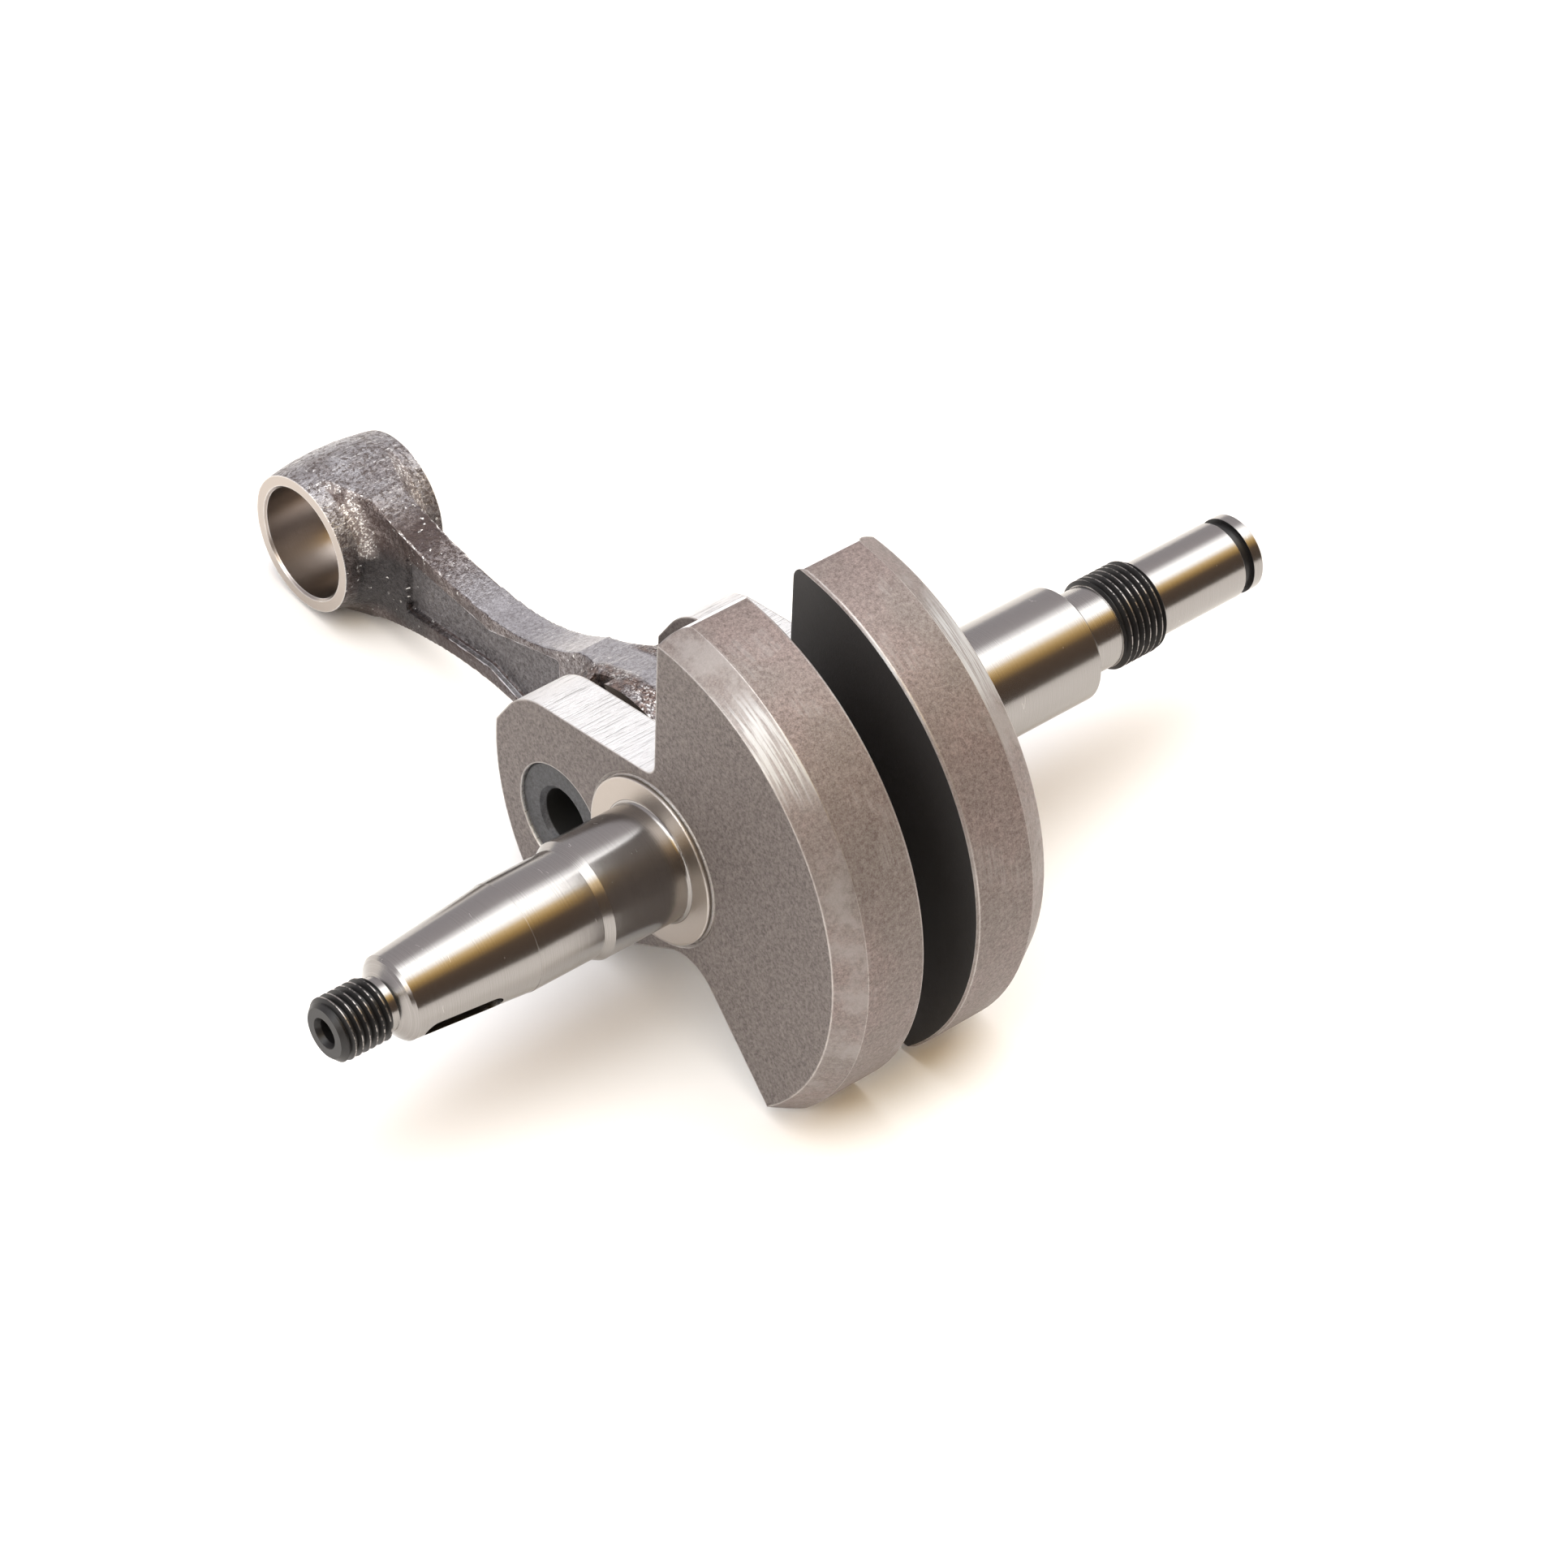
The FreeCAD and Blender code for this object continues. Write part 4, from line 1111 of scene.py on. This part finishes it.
        # painted highlight: the upper shoulder is tinted pale and gets dense bright specks
        coat.tint(g.both(highlight_band, patches, 0.75), spot, self.grey, self.highlight_band_light)
        thick = g.both(patches, g.either(highlight_band, g.both(ring, 0.7)))
        odds = g.lerp(thick, 0.965, 0.15)
        strength = g.rise(chance.outputs[1], 0.0, 1.0, 0.45, 1.0)
        coat.lay(g.both(spot, strength, g.above(chance.outputs[0], odds)), self.sparkle)

    def build_lip(self, kit: SurfaceKit, rod: RodPlace) -> bpy.types.Material:
        """Make the rubbed steel of the pockets' lips.

        Args:
            kit: The shared shader groups.
            rod: Where the rod lies.

        Returns:
            The material.
        """
        material, g = new_material("rubbed_pocket_lip")
        space = g.group(kit.space, Centre=rod.pin, Turn=rod.angle)
        place = space.outputs["Place"]
        coat = Coat(g, self.scale)
        rubbed = g.rise(g.noise(place, 0.5, 4.0, 0.65), 0.4, 0.6)
        coat.tint(1.0, rubbed, self.grey, self.steel_blue)
        grain = g.group(kit.grain, Vector=place, Size=0.2, Contrast=1.5)
        coat.carve(1.0, grain.outputs["Height"], 0.05)
        coat.finish()
        return material


# ---------------------------------------------------------------------------------------------
# Mesh helpers
# ---------------------------------------------------------------------------------------------


def mesh_object(name: str, mesh: bpy.types.Mesh) -> bpy.types.Object:
    """Put a mesh in the scene as an object at the origin.

    Args:
        name: The object's name.
        mesh: The mesh.

    Returns:
        The new object.
    """
    thing = bpy.data.objects.new(name, mesh)
    bpy.context.scene.collection.objects.link(thing)
    return thing


def settle(thing: bpy.types.Object) -> None:
    """Turn an object's modifiers into its plain mesh.

    Args:
        thing: The object.
    """
    graph = bpy.context.evaluated_depsgraph_get()
    evaluated = thing.evaluated_get(graph)
    mesh = bpy.data.meshes.new_from_object(evaluated)
    thing.modifiers.clear()
    old = thing.data
    thing.data = mesh
    mesh.name = thing.name
    if old.users == 0:
        bpy.data.meshes.remove(old)


def turn_outward(mesh: bpy.types.Mesh) -> None:
    """Merge a closed mesh's doubles and make its faces point outwards.

    Args:
        mesh: The mesh.
    """
    shell = bmesh.new()
    shell.from_mesh(mesh)
    bmesh.ops.remove_doubles(shell, verts=shell.verts, dist=0.0001 * MM)
    bmesh.ops.recalc_face_normals(shell, faces=shell.faces)
    shell.to_mesh(mesh)
    shell.free()


def lathe(outline: list[tuple[float, float]], steps: int, place: Matrix) -> bmesh.types.BMesh:
    """A closed solid turned about the local X axis.

    Args:
        outline: (place, radius) pairs in millimetres; the first and last are on the axis.
        steps: How many steps make the full turn.
        place: Where the local axis stands, in metres.

    Returns:
        The solid as a BMesh.
    """
    solid = bmesh.new()
    rings = []
    for x, radius in outline:
        if radius == 0.0:
            rings.append([solid.verts.new(place @ Vector((x * MM, 0, 0)))])
            continue
        ring = []
        for step in range(steps):
            angle = math.tau * step / steps
            point = (x * MM, radius * MM * math.cos(angle), radius * MM * math.sin(angle))
            ring.append(solid.verts.new(place @ Vector(point)))
        rings.append(ring)
    for first, second in zip(rings, rings[1:]):
        for step in range(steps):
            after = (step + 1) % steps
            corners = [first[step % len(first)], first[after % len(first)],
                       second[after % len(second)], second[step % len(second)]]
            unique = list(dict.fromkeys(corners))
            solid.faces.new(unique)
    bmesh.ops.recalc_face_normals(solid, faces=solid.faces)
    return solid


def slab(low: tuple, high: tuple, place: Matrix) -> bmesh.types.BMesh:
    """A closed box between two corners, in millimetres about a place in metres.

    Args:
        low: The lower corner.
        high: The upper corner.
        place: Where the box stands.

    Returns:
        The box as a BMesh.
    """
    solid = bmesh.new()
    bmesh.ops.create_cube(solid, size=1.0)
    for vertex in solid.verts:
        mixed = [low[i] + (vertex.co[i] + 0.5) * (high[i] - low[i]) for i in range(3)]
        vertex.co = place @ (Vector(mixed) * MM)
    bmesh.ops.recalc_face_normals(solid, faces=solid.faces)
    return solid


def join(parts: list[bmesh.types.BMesh], name: str) -> bpy.types.Mesh:
    """Put several BMesh solids in one mesh, side by side.

    Args:
        parts: The solids.
        name: The mesh's name.

    Returns:
        The mesh.
    """
    mesh = bpy.data.meshes.new(name)
    whole = bmesh.new()
    for part in parts:
        scratch = bpy.data.meshes.new("scratch")
        part.to_mesh(scratch)
        whole.from_mesh(scratch)
        bpy.data.meshes.remove(scratch)
        part.free()
    whole.to_mesh(mesh)
    whole.free()
    return mesh


# ---------------------------------------------------------------------------------------------
# Sub-assemblies
# ---------------------------------------------------------------------------------------------


@dataclass
class ForgedRod:
    """The connecting rod, forged as one blank and then bored and faced."""

    place: RodPlace
    node: bpy.types.Object
    voxel_mm: float = 0.26
    smoothing: int = 4
    hammer_mm: float = 0.035
    big: RodEye = RodEye(End.BIG, 5.8, 13.4, 10.0, 18.0)
    small: RodEye = RodEye(End.SMALL, 7.6, 9.1, 7.5, 14.0)
    bore_chamfer: float = 0.3
    bore_overrun: float = 2.0
    facing_overrun: float = 3.0
    slot_overrun: float = 1.0
    stock: float = 0.7
    blank_steps: int = 96
    run_out_passes: int = 55
    slot_angle: float = 62.0
    slot_depth: float = 1.6
    slot_half: float = 2.0
    turn_steps: int = 160
    pocket_end: float = 48.0
    pocket_fade: float = 4.0
    pocket_half: float = 3.3
    shank_half: float = 5.0
    lip_across: float = 2.3
    lip_end: float = 39.0
    least_pocket: float = 15.0
    sharp_degrees: float = 38.0

    def blank(self) -> bpy.types.Object:
        """The forging before machining: ends full, faces left proud, edges softened.

        Returns:
            The forging as a plain mesh object.
        """
        copy = bmesh.new()
        copy.from_mesh(self.node.data)
        bmesh.ops.remove_doubles(copy, verts=copy.verts, dist=0.002 * MM)
        ends = [copy]
        for eye in (self.big, self.small):
            long = eye.half_width + self.stock
            outline = [(-long, 0.0), (-long, eye.radius), (long, eye.radius), (long, 0.0)]
            ends.append(lathe(outline, self.blank_steps, self.place.at(eye.end)))
        blank = mesh_object("connecting_rod_forging", join(ends, "rod_blank"))
        remesh = blank.modifiers.new("fuse", "REMESH")
        remesh.mode = "VOXEL"
        remesh.voxel_size = self.voxel_mm * MM
        soften = blank.modifiers.new("soften", "SMOOTH")
        soften.factor = 0.5
        soften.iterations = self.smoothing
        settle(blank)
        self.fade_pocket(blank)
        self.hammer(blank.data)
        return blank

    def fade_pocket(self, blank: bpy.types.Object) -> None:
        """Let the side pockets run out into the small end without a step.

        Args:
            blank: The forging, changed in place.
        """
        group = blank.vertex_groups.new(name="pocket_run_out")
        inward = self.place.at(End.BIG).inverted()
        for vertex in blank.data.vertices:
            spot = (inward @ vertex.co) / MM
            near = 1.0 - abs(spot.y - self.pocket_end) / self.pocket_fade
            beside = abs(spot.z) < self.pocket_half and abs(spot.x) < self.shank_half
            if near > 0.0 and beside:
                group.add([vertex.index], min(1.0, 2.0 * near), "REPLACE")
        soften = blank.modifiers.new("fade", "SMOOTH")
        soften.factor = 0.5
        soften.iterations = self.run_out_passes
        soften.vertex_group = group.name
        settle(blank)

    def hammer(self, mesh: bpy.types.Mesh) -> None:
        """Give the blank the uneven skin of a forging.

        Args:
            mesh: The forging's mesh, changed in place.
        """
        normals = [vertex.normal.copy() for vertex in mesh.vertices]
        for vertex, normal in zip(mesh.vertices, normals):
            spot = vertex.co / MM
            swell = noise.noise(spot * 0.33) + 0.6 * noise.noise(spot * 0.9)
            vertex.co += normal * (swell * self.hammer_mm * MM)

    def cut(self, blank: bpy.types.Object, parts: list[bmesh.types.BMesh], name: str) -> None:
        """Take solids out of the blank.

        Args:
            blank: The forging.
            parts: The solids.
            name: The cut's name.
        """
        cutter = mesh_object(name, join(parts, name))
        modifier = blank.modifiers.new(name, "BOOLEAN")
        modifier.operation = "DIFFERENCE"
        modifier.solver = "MANIFOLD"
        modifier.object = cutter
        settle(blank)
        bpy.data.objects.remove(cutter, do_unlink=True)

    def bore(self, eye: RodEye) -> bmesh.types.BMesh:
        """The cutter of a through bore with a chamfer at both faces.

        Args:
            eye: The end that is bored.

        Returns:
            The cutter as a BMesh.
        """
        radius, half = eye.bore, eye.half_width
        chamfer = self.bore_chamfer
        past = half + self.bore_overrun
        outline = [(-past, 0.0), (-past, radius + chamfer), (-half, radius + chamfer),
                   (chamfer - half, radius), (half - chamfer, radius),
                   (half, radius + chamfer), (past, radius + chamfer), (past, 0.0)]
        return lathe(outline, self.turn_steps, self.place.at(eye.end))

    def machine(self, blank: bpy.types.Object) -> None:
        """Face both ends, bore them and cut the oil slots.

        Args:
            blank: The forging.
        """
        faces = []
        for eye in (self.big, self.small):
            half, reach = eye.half_width, eye.facing_reach
            past = half + self.facing_overrun
            for low, high in ((half, past), (-past, -half)):
                faces.append(slab((low, -reach, -reach), (high, reach, reach),
                                  self.place.at(eye.end)))
        self.cut(blank, faces, "facing_cut")
        self.cut(blank, [self.bore(self.big), self.bore(self.small)], "boring_cut")
        slots = []
        for angle in (self.slot_angle, -self.slot_angle):
            turned = self.place.at(End.BIG) @ Matrix.Rotation(math.radians(angle), 4, "X")
            for side in (1, -1):
                inner = side * (self.big.half_width - self.slot_depth)
                outer = side * (self.big.half_width + self.slot_overrun)
                low, high = sorted((inner, outer))
                slots.append(slab((low, self.big.bore - 2.0, -self.slot_half),
                                  (high, self.big.radius + 3.0, self.slot_half), turned))
        self.cut(blank, slots, "oil_slot_cut")

    def make(self, material: bpy.types.Material,
             rubbed: bpy.types.Material) -> bpy.types.Object:
        """Forge, machine and dress the rod, in place of its plain solid.

        Args:
            material: The rod's own finish.
            rubbed: The finish of its pockets' lips.

        Returns:
            The finished rod.
        """
        blank = self.blank()
        lips = self.pocket_lips(blank, rubbed)
        self.machine(blank)
        blank.data.materials.clear()
        blank.data.materials.append(material)
        for polygon in blank.data.polygons:
            polygon.use_smooth = True
            polygon.material_index = 0
        blank.data.set_sharp_from_angle(angle=math.radians(self.sharp_degrees))
        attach(blank, "rod")
        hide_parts("connecting_rod")
        LOG.info("connecting rod: %d faces", len(blank.data.polygons))
        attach(lips, "rod")
        return blank

    def pocket_lips(self, blank: bpy.types.Object,
                    material: bpy.types.Material) -> bpy.types.Object:
        """The thin lips along both shank pockets, which end before the small end.

        Args:
            blank: The forging before machining; its sections just under the shank's two sides
                give the pockets' outlines.
            material: The lips' material.

        Returns:
            Both lips as one plain mesh.
        """
        paths = bmesh.new()
        for side in (1, -1):
            plane = self.place.at(End.BIG) @ Vector((side * self.lip_across * MM, 0, 0))
            section = bmesh.new()
            section.from_mesh(blank.data)
            everything = section.verts[:] + section.edges[:] + section.faces[:]
            cut = bmesh.ops.bisect_plane(section, geom=everything, plane_co=plane,
                                         plane_no=Vector((1, 0, 0)), dist=1e-7)
            lines = [item for item in cut["geom_cut"] if isinstance(item, bmesh.types.BMEdge)]
            for loop in self.pocket_loops(lines):
                sharp = [edge for edge in loop
                         if self.place.out_of(edge.verts[0].co) < self.lip_end]
                copies = {vertex: paths.verts.new(vertex.co)
                          for edge in sharp for vertex in edge.verts}
                for edge in sharp:
                    paths.edges.new([copies[vertex] for vertex in edge.verts])
            section.free()
        mesh = bpy.data.meshes.new("rod_pocket_lips")
        paths.to_mesh(mesh)
        paths.free()
        lips = mesh_object("rod_pocket_lips", mesh)
        LipTree().apply(lips, material)
        settle(lips)
        turn_outward(lips.data)
        LOG.info("pocket lips: %d faces", len(lips.data.polygons))
        return lips

    def pocket_loops(self, lines: list[bmesh.types.BMEdge]) -> list[list[bmesh.types.BMEdge]]:
        """Sort a section's edges into connected loops and keep those inside the shank.

        Args:
            lines: All edges of the section.

        Returns:
            The loops of the pocket.
        """
        waiting = set(lines)
        kept = []
        while waiting:
            loop = [waiting.pop()]
            for edge in loop:
                for vertex in edge.verts:
                    joined = [other for other in vertex.link_edges if other in waiting]
                    waiting.difference_update(joined)
                    loop.extend(joined)
            outs = [self.place.out_of(vertex.co) for edge in loop for vertex in edge.verts]
            in_shank = min(outs) > self.big.radius + 1.0 and max(outs) < self.pocket_end + 4.0
            if in_shank and max(outs) - min(outs) > self.least_pocket:
                kept.append(loop)
        return kept


@dataclass
class GeometryTree:
    """A Geometry Nodes tree with named inputs, built in code."""

    name: str = "geometry"

    def start(self, inputs: dict[str, tuple]) -> tuple:
        """Begin the tree with a Geometry input and output and the named inputs.

        Args:
            inputs: Socket types and first values by name.

        Returns:
            The tree, its Graph, its input node and its output node.
        """
        tree = bpy.data.node_groups.new(self.name, "GeometryNodeTree")
        tree.interface.new_socket("Geometry", in_out="INPUT", socket_type="NodeSocketGeometry")
        for label, (kind, value) in inputs.items():
            socket = tree.interface.new_socket(label, in_out="INPUT", socket_type=kind)
            if value is not None:
                socket.default_value = value
        tree.interface.new_socket("Geometry", in_out="OUTPUT", socket_type="NodeSocketGeometry")
        graph = Graph(tree)
        return tree, graph, graph.add("NodeGroupInput"), graph.add("NodeGroupOutput")

    def fit(self, thing: bpy.types.Object, tree: bpy.types.NodeTree,
            values: dict[str, object]) -> None:
        """Put the tree on an object and set its inputs by their names.

        Args:
            thing: The object.
            tree: The tree.
            values: Input values by name.
        """
        modifier = thing.modifiers.new(self.name, "NODES")
        modifier.node_group = tree
        for item in tree.interface.items_tree:
            if item.in_out == "INPUT" and item.name in values:
                modifier[item.identifier] = values[item.name]


@dataclass
class LipTree(GeometryTree):
    """A low uneven bead swept along edge paths, with closed ends."""

    name: str = "pocket_lip"
    bead_mm: float = 0.16
    step_mm: float = 0.35
    sides: int = 10
    seed: float = 4.0
    unevenness: float = 420.0

    def apply(self, path: bpy.types.Object, material: bpy.types.Material) -> None:
        """Sweep the bead along the path's edges.

        Args:
            path: The object whose edges are the path.
            material: The material.
        """
        tree, g, given, result = self.start({
            "Bead": (FLOAT, None), "Step": (FLOAT, None), "Sides": ("NodeSocketInt", None),
            "Seed": (FLOAT, None), "Material": ("NodeSocketMaterial", None),
        })
        curve = g.add("GeometryNodeMeshToCurve")
        g.feed(curve.inputs["Mesh"], given.outputs["Geometry"])
        even = g.add("GeometryNodeResampleCurve", mode="LENGTH")
        g.feed(even.inputs["Curve"], curve.outputs[0])
        g.feed(even.inputs["Length"], given.outputs["Step"])
        position = g.add("GeometryNodeInputPosition")
        uneven = g.add("ShaderNodeTexNoise", noise_dimensions="4D")
        g.feed(uneven.inputs["Vector"], position.outputs[0])
        g.feed(uneven.inputs["W"], given.outputs["Seed"])
        g.feed(uneven.inputs["Scale"], self.unevenness)
        radius = g.add("GeometryNodeSetCurveRadius")
        g.feed(radius.inputs["Curve"], even.outputs[0])
        g.feed(radius.inputs["Radius"], g.rise(uneven.outputs[0], 0.3, 0.7, 0.35, 1.0))
        ring = g.add("GeometryNodeCurvePrimitiveCircle")
        g.feed(ring.inputs["Resolution"], given.outputs["Sides"])
        g.feed(ring.inputs["Radius"], given.outputs["Bead"])
        sweep = g.add("GeometryNodeCurveToMesh")
        g.feed(sweep.inputs["Curve"], radius.outputs[0])
        g.feed(sweep.inputs["Profile Curve"], ring.outputs[0])
        g.feed(sweep.inputs["Fill Caps"], True)
        if "Scale" in sweep.inputs:
            width = g.add("GeometryNodeInputRadius")
            g.feed(sweep.inputs["Scale"], width.outputs[0])
        whole = g.add("GeometryNodeRealizeInstances")
        g.feed(whole.inputs[0], sweep.outputs[0])
        dressed = g.add("GeometryNodeSetMaterial")
        g.feed(dressed.inputs["Geometry"], whole.outputs[0])
        g.feed(dressed.inputs["Material"], given.outputs["Material"])
        g.feed(result.inputs["Geometry"], dressed.outputs[0])
        self.fit(path, tree, {
            "Bead": self.bead_mm * MM, "Step": self.step_mm * MM, "Sides": self.sides,
            "Seed": self.seed, "Material": material,
        })


@dataclass
class PressedCrank:
    """Both crank halves and the crankpin, which keep their own solids."""

    nodes: dict[str, bpy.types.Object]
    centre: Vector
    pin: Vector
    finish: CrankFinish = field(default_factory=CrankFinish)
    pin_finish: PinFinish = field(default_factory=PinFinish)

    @property
    def lean(self) -> float:
        """The crankpin's angle about the crank axis, in radians."""
        return math.atan2(self.pin.z, self.pin.y)

    def dress(self, kit: SurfaceKit) -> None:
        """Give the halves and the pin their finishes.

        Args:
            kit: The shared shader groups.
        """
        material = self.finish.build(kit, self.centre, self.lean)
        for name in ("flywheel_crank_half", "clutch_crank_half"):
            dress_node(self.nodes[name], material)
            LOG.info("%s dressed", name)
        dress_node(self.nodes["crankpin"], self.pin_finish.build(kit, self.pin))
        LOG.info("crankpin dressed")


@dataclass
class BigEndBearing:
    """The cage and its needles, hidden in the rod's big end."""

    nodes: dict[str, bpy.types.Object]
    pin: Vector
    finish: BearingFinish = field(default_factory=BearingFinish)

    def dress(self, kit: SurfaceKit) -> None:
        """Give the cage and every needle their finishes.

        Args:
            kit: The shared shader groups.
        """
        dress_node(self.nodes["big_end_cage"], self.finish.build_cage(kit, self.pin))
        material = self.finish.build_needle(kit, self.pin)
        needles = [name for name in self.nodes if name.startswith("big_end_needle")]
        for name in needles:
            dress_node(self.nodes[name], material)
        LOG.info("big-end bearing: cage and %d needles dressed", len(needles))


def dress_node(node: bpy.types.Object, material: bpy.types.Material) -> None:
    """Put a material in every slot of a node's object.

    Args:
        node: The node's object.
        material: The material for every slot.
    """
    if not node.material_slots:
        node.data.materials.append(material)
    for slot in node.material_slots:
        slot.material = material


# ---------------------------------------------------------------------------------------------
# Studio
# ---------------------------------------------------------------------------------------------


@dataclass(frozen=True)
class Shot:
    """The camera: what it looks at, from where, and its lens."""

    target_mm: Triple = (26.69, 0.81, 0.0)
    distance_mm: float = 700.24
    azimuth: float = -44.889
    elevation: float = 43.951
    roll: float = 6.792
    lens: float = 136.78

    def build(self) -> bpy.types.Object:
        """Make the camera and set it as the scene's.

        Returns:
            The camera.
        """
        azimuth = math.radians(self.azimuth)
        elevation = math.radians(self.elevation)
        forward = Vector((-math.sin(azimuth) * math.cos(elevation),
                          math.cos(azimuth) * math.cos(elevation), -math.sin(elevation)))
        right = Vector((math.cos(azimuth), math.sin(azimuth), 0.0))
        up = right.cross(forward)
        turn = Matrix.Rotation(math.radians(self.roll), 3, -forward)
        right, up = turn @ right, turn @ up
        data = bpy.data.cameras.new("camera")
        data.lens = self.lens
        data.sensor_width = 36.0
        data.clip_start = 0.01
        data.clip_end = 20.0
        camera = bpy.data.objects.new("camera", data)
        spot = Vector(self.target_mm) * MM - forward * (self.distance_mm * MM)
        columns = Matrix((right, up, -forward)).transposed().to_4x4()
        camera.matrix_world = Matrix.Translation(spot) @ columns
        bpy.context.scene.collection.objects.link(camera)
        bpy.context.scene.camera = camera
        return camera


@dataclass(frozen=True)
class Softbox:
    """One area light, aimed at the crank."""

    name: str
    place: Triple
    size: tuple[float, float]
    power: float
    colour: Colour = (1.0, 1.0, 1.0)

    def build(self, aim: Vector) -> bpy.types.Object:
        """Make the light, its long side along X.

        Args:
            aim: The point that it faces.

        Returns:
            The light.
        """
        data = bpy.data.lights.new(self.name, "AREA")
        data.shape = "RECTANGLE"
        data.size, data.size_y = self.size
        data.energy = self.power
        data.color = self.colour
        light = bpy.data.objects.new(self.name, data)
        light.location = self.place
        back = (Vector(self.place) - aim).normalized()
        side = Vector((1, 0, 0))
        up = back.cross(side).normalized()
        side = up.cross(back)
        columns = Matrix((side, up, back)).transposed().to_4x4()
        light.matrix_world = Matrix.Translation(self.place) @ columns
        bpy.context.scene.collection.objects.link(light)
        return light


@dataclass(frozen=True)
class Studio:
    """A pale floor, soft lights and a room that shafts can reflect."""

    floor_colour: Colour = (0.93, 0.93, 0.93)
    floor_half: float = 3.0
    gap: float = 0.00002
    key: Softbox = Softbox("key_softbox", (0.0, 0.05, 0.95), (2.4, 0.45), 3.5)
    fill: Softbox = Softbox("fill_softbox", (-1.1, -0.25, 0.75), (0.7, 0.7), 3.0,
                            (0.93, 0.96, 1.0))
    # (angle about the crank axis from +Y through +Z, colour of the room there)
    room: tuple[tuple[float, Colour], ...] = (
        (-180.0, (0.05, 0.036, 0.026)),
        (-100.0, (0.25, 0.25, 0.25)),
        (-6.0, (0.40, 0.40, 0.40)),
        (6.0, (0.235, 0.225, 0.235)),
        (58.0, (0.28, 0.262, 0.270)),
        (74.0, (0.98, 0.99, 1.0)),
        (104.0, (1.0, 0.99, 0.97)),
        (112.0, (0.62, 0.44, 0.19)),
        (124.0, (0.34, 0.21, 0.065)),
        (138.0, (0.070, 0.048, 0.034)),
        (180.0, (0.05, 0.038, 0.030)),
    )
    room_strength: float = 3.1

    def build(self, lowest: float, aim: Vector) -> None:
        """Set the stage.

        Args:
            lowest: The height of the object's lowest point, in metres.
            aim: The point that the lights face.
        """
        scene = bpy.context.scene
        scene.view_settings.view_transform = "Standard"
        self.floor(lowest - self.gap)
        self.world(scene)
        for softbox in (self.key, self.fill):
            softbox.build(aim)

    def floor(self, height: float) -> None:
        """Make the floor.

        Args:
            height: The floor's height, in metres.
        """
        mesh = bpy.data.meshes.new("studio_floor")
        half = self.floor_half
        corners = [(-half, -half, height), (half, -half, height), (half, half, height),
                   (-half, half, height)]
        mesh.from_pydata(corners, [], [(0, 1, 2, 3)])
        material, g = new_material("studio_paper")
        shader = g.add("ShaderNodeBsdfPrincipled")
        g.feed(shader.inputs["Base Color"], self.floor_colour)
        shader.inputs["Roughness"].default_value = 0.9
        output = g.add("ShaderNodeOutputMaterial")
        g.feed(output.inputs["Surface"], shader.outputs[0])
        mesh.materials.append(material)
        mesh_object("studio_floor", mesh)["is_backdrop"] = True

    def world(self, scene: bpy.types.Scene) -> None:
        """Colour the room by the angle about the crank axis.

        Args:
            scene: The scene.
        """
        world = bpy.data.worlds.new("studio_room")
        scene.world = world
        world.use_nodes = True
        world.node_tree.nodes.clear()
        g = Graph(world.node_tree)
        direction = g.add("ShaderNodeTexCoord")
        parts = g.add("ShaderNodeSeparateXYZ")
        g.feed(parts.inputs[0], direction.outputs["Generated"])
        angle = g.math("ARCTAN2", parts.outputs[2], parts.outputs[1])
        share = g.math("ADD", g.math("DIVIDE", angle, math.tau), 0.5)
        ramp = g.add("ShaderNodeValToRGB")
        g.feed(ramp.inputs[0], share)
        marks = ramp.color_ramp.elements
        while len(marks) < len(self.room):
            marks.new(1.0)
        for mark, (degrees, colour) in zip(marks, self.room):
            mark.position = degrees / 360.0 + 0.5
            mark.color = (*colour, 1.0)
        background = g.add("ShaderNodeBackground")
        g.feed(background.inputs["Color"], ramp.outputs[0])
        background.inputs["Strength"].default_value = self.room_strength
        output = g.add("ShaderNodeOutputWorld")
        g.feed(output.inputs["Surface"], background.outputs[0])


def joint_centre(record: dict, name: str) -> Vector:
    """The place of a named joint, in metres.

    Args:
        record: The part's record.
        name: The joint's name.

    Returns:
        The place.
    """
    for joint in record["behaviour"]["joints"]:
        if joint["name"] == name:
            return Vector(joint["pos_m"])
    raise KeyError(name)


def mount_centre(record: dict, name: str) -> Vector:
    """The place of a named mount, in metres.

    Args:
        record: The part's record.
        name: The mount's name.

    Returns:
        The place.
    """
    for mount in record["mounts"]:
        if mount["name"] == name:
            return Vector(mount["pos_m"])
    raise KeyError(name)


def main() -> None:
    """Build the crankshaft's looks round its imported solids."""
    logging.basicConfig(level=logging.INFO)
    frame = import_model()
    cad_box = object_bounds()
    record = frame["record"]
    pin = joint_centre(record, "rod_swing")
    small_end = mount_centre(record, "small_end_bore")
    centre = Vector((pin.x, 0.0, 0.0))

    Shot().build()
    Studio().build(cad_box[0][2], centre)
    kit = SurfaceKit()
    PressedCrank(frame["nodes"], centre, pin).dress(kit)
    BigEndBearing(frame["nodes"], pin).dress(kit)
    place = RodPlace(pin, small_end)
    rod = ForgedRod(place, frame["nodes"]["connecting_rod"])
    rod_finish = RodFinish()
    rod.make(rod_finish.build(kit, place), rod_finish.build_lip(kit, place))


if __name__ == "__main__":
    main()
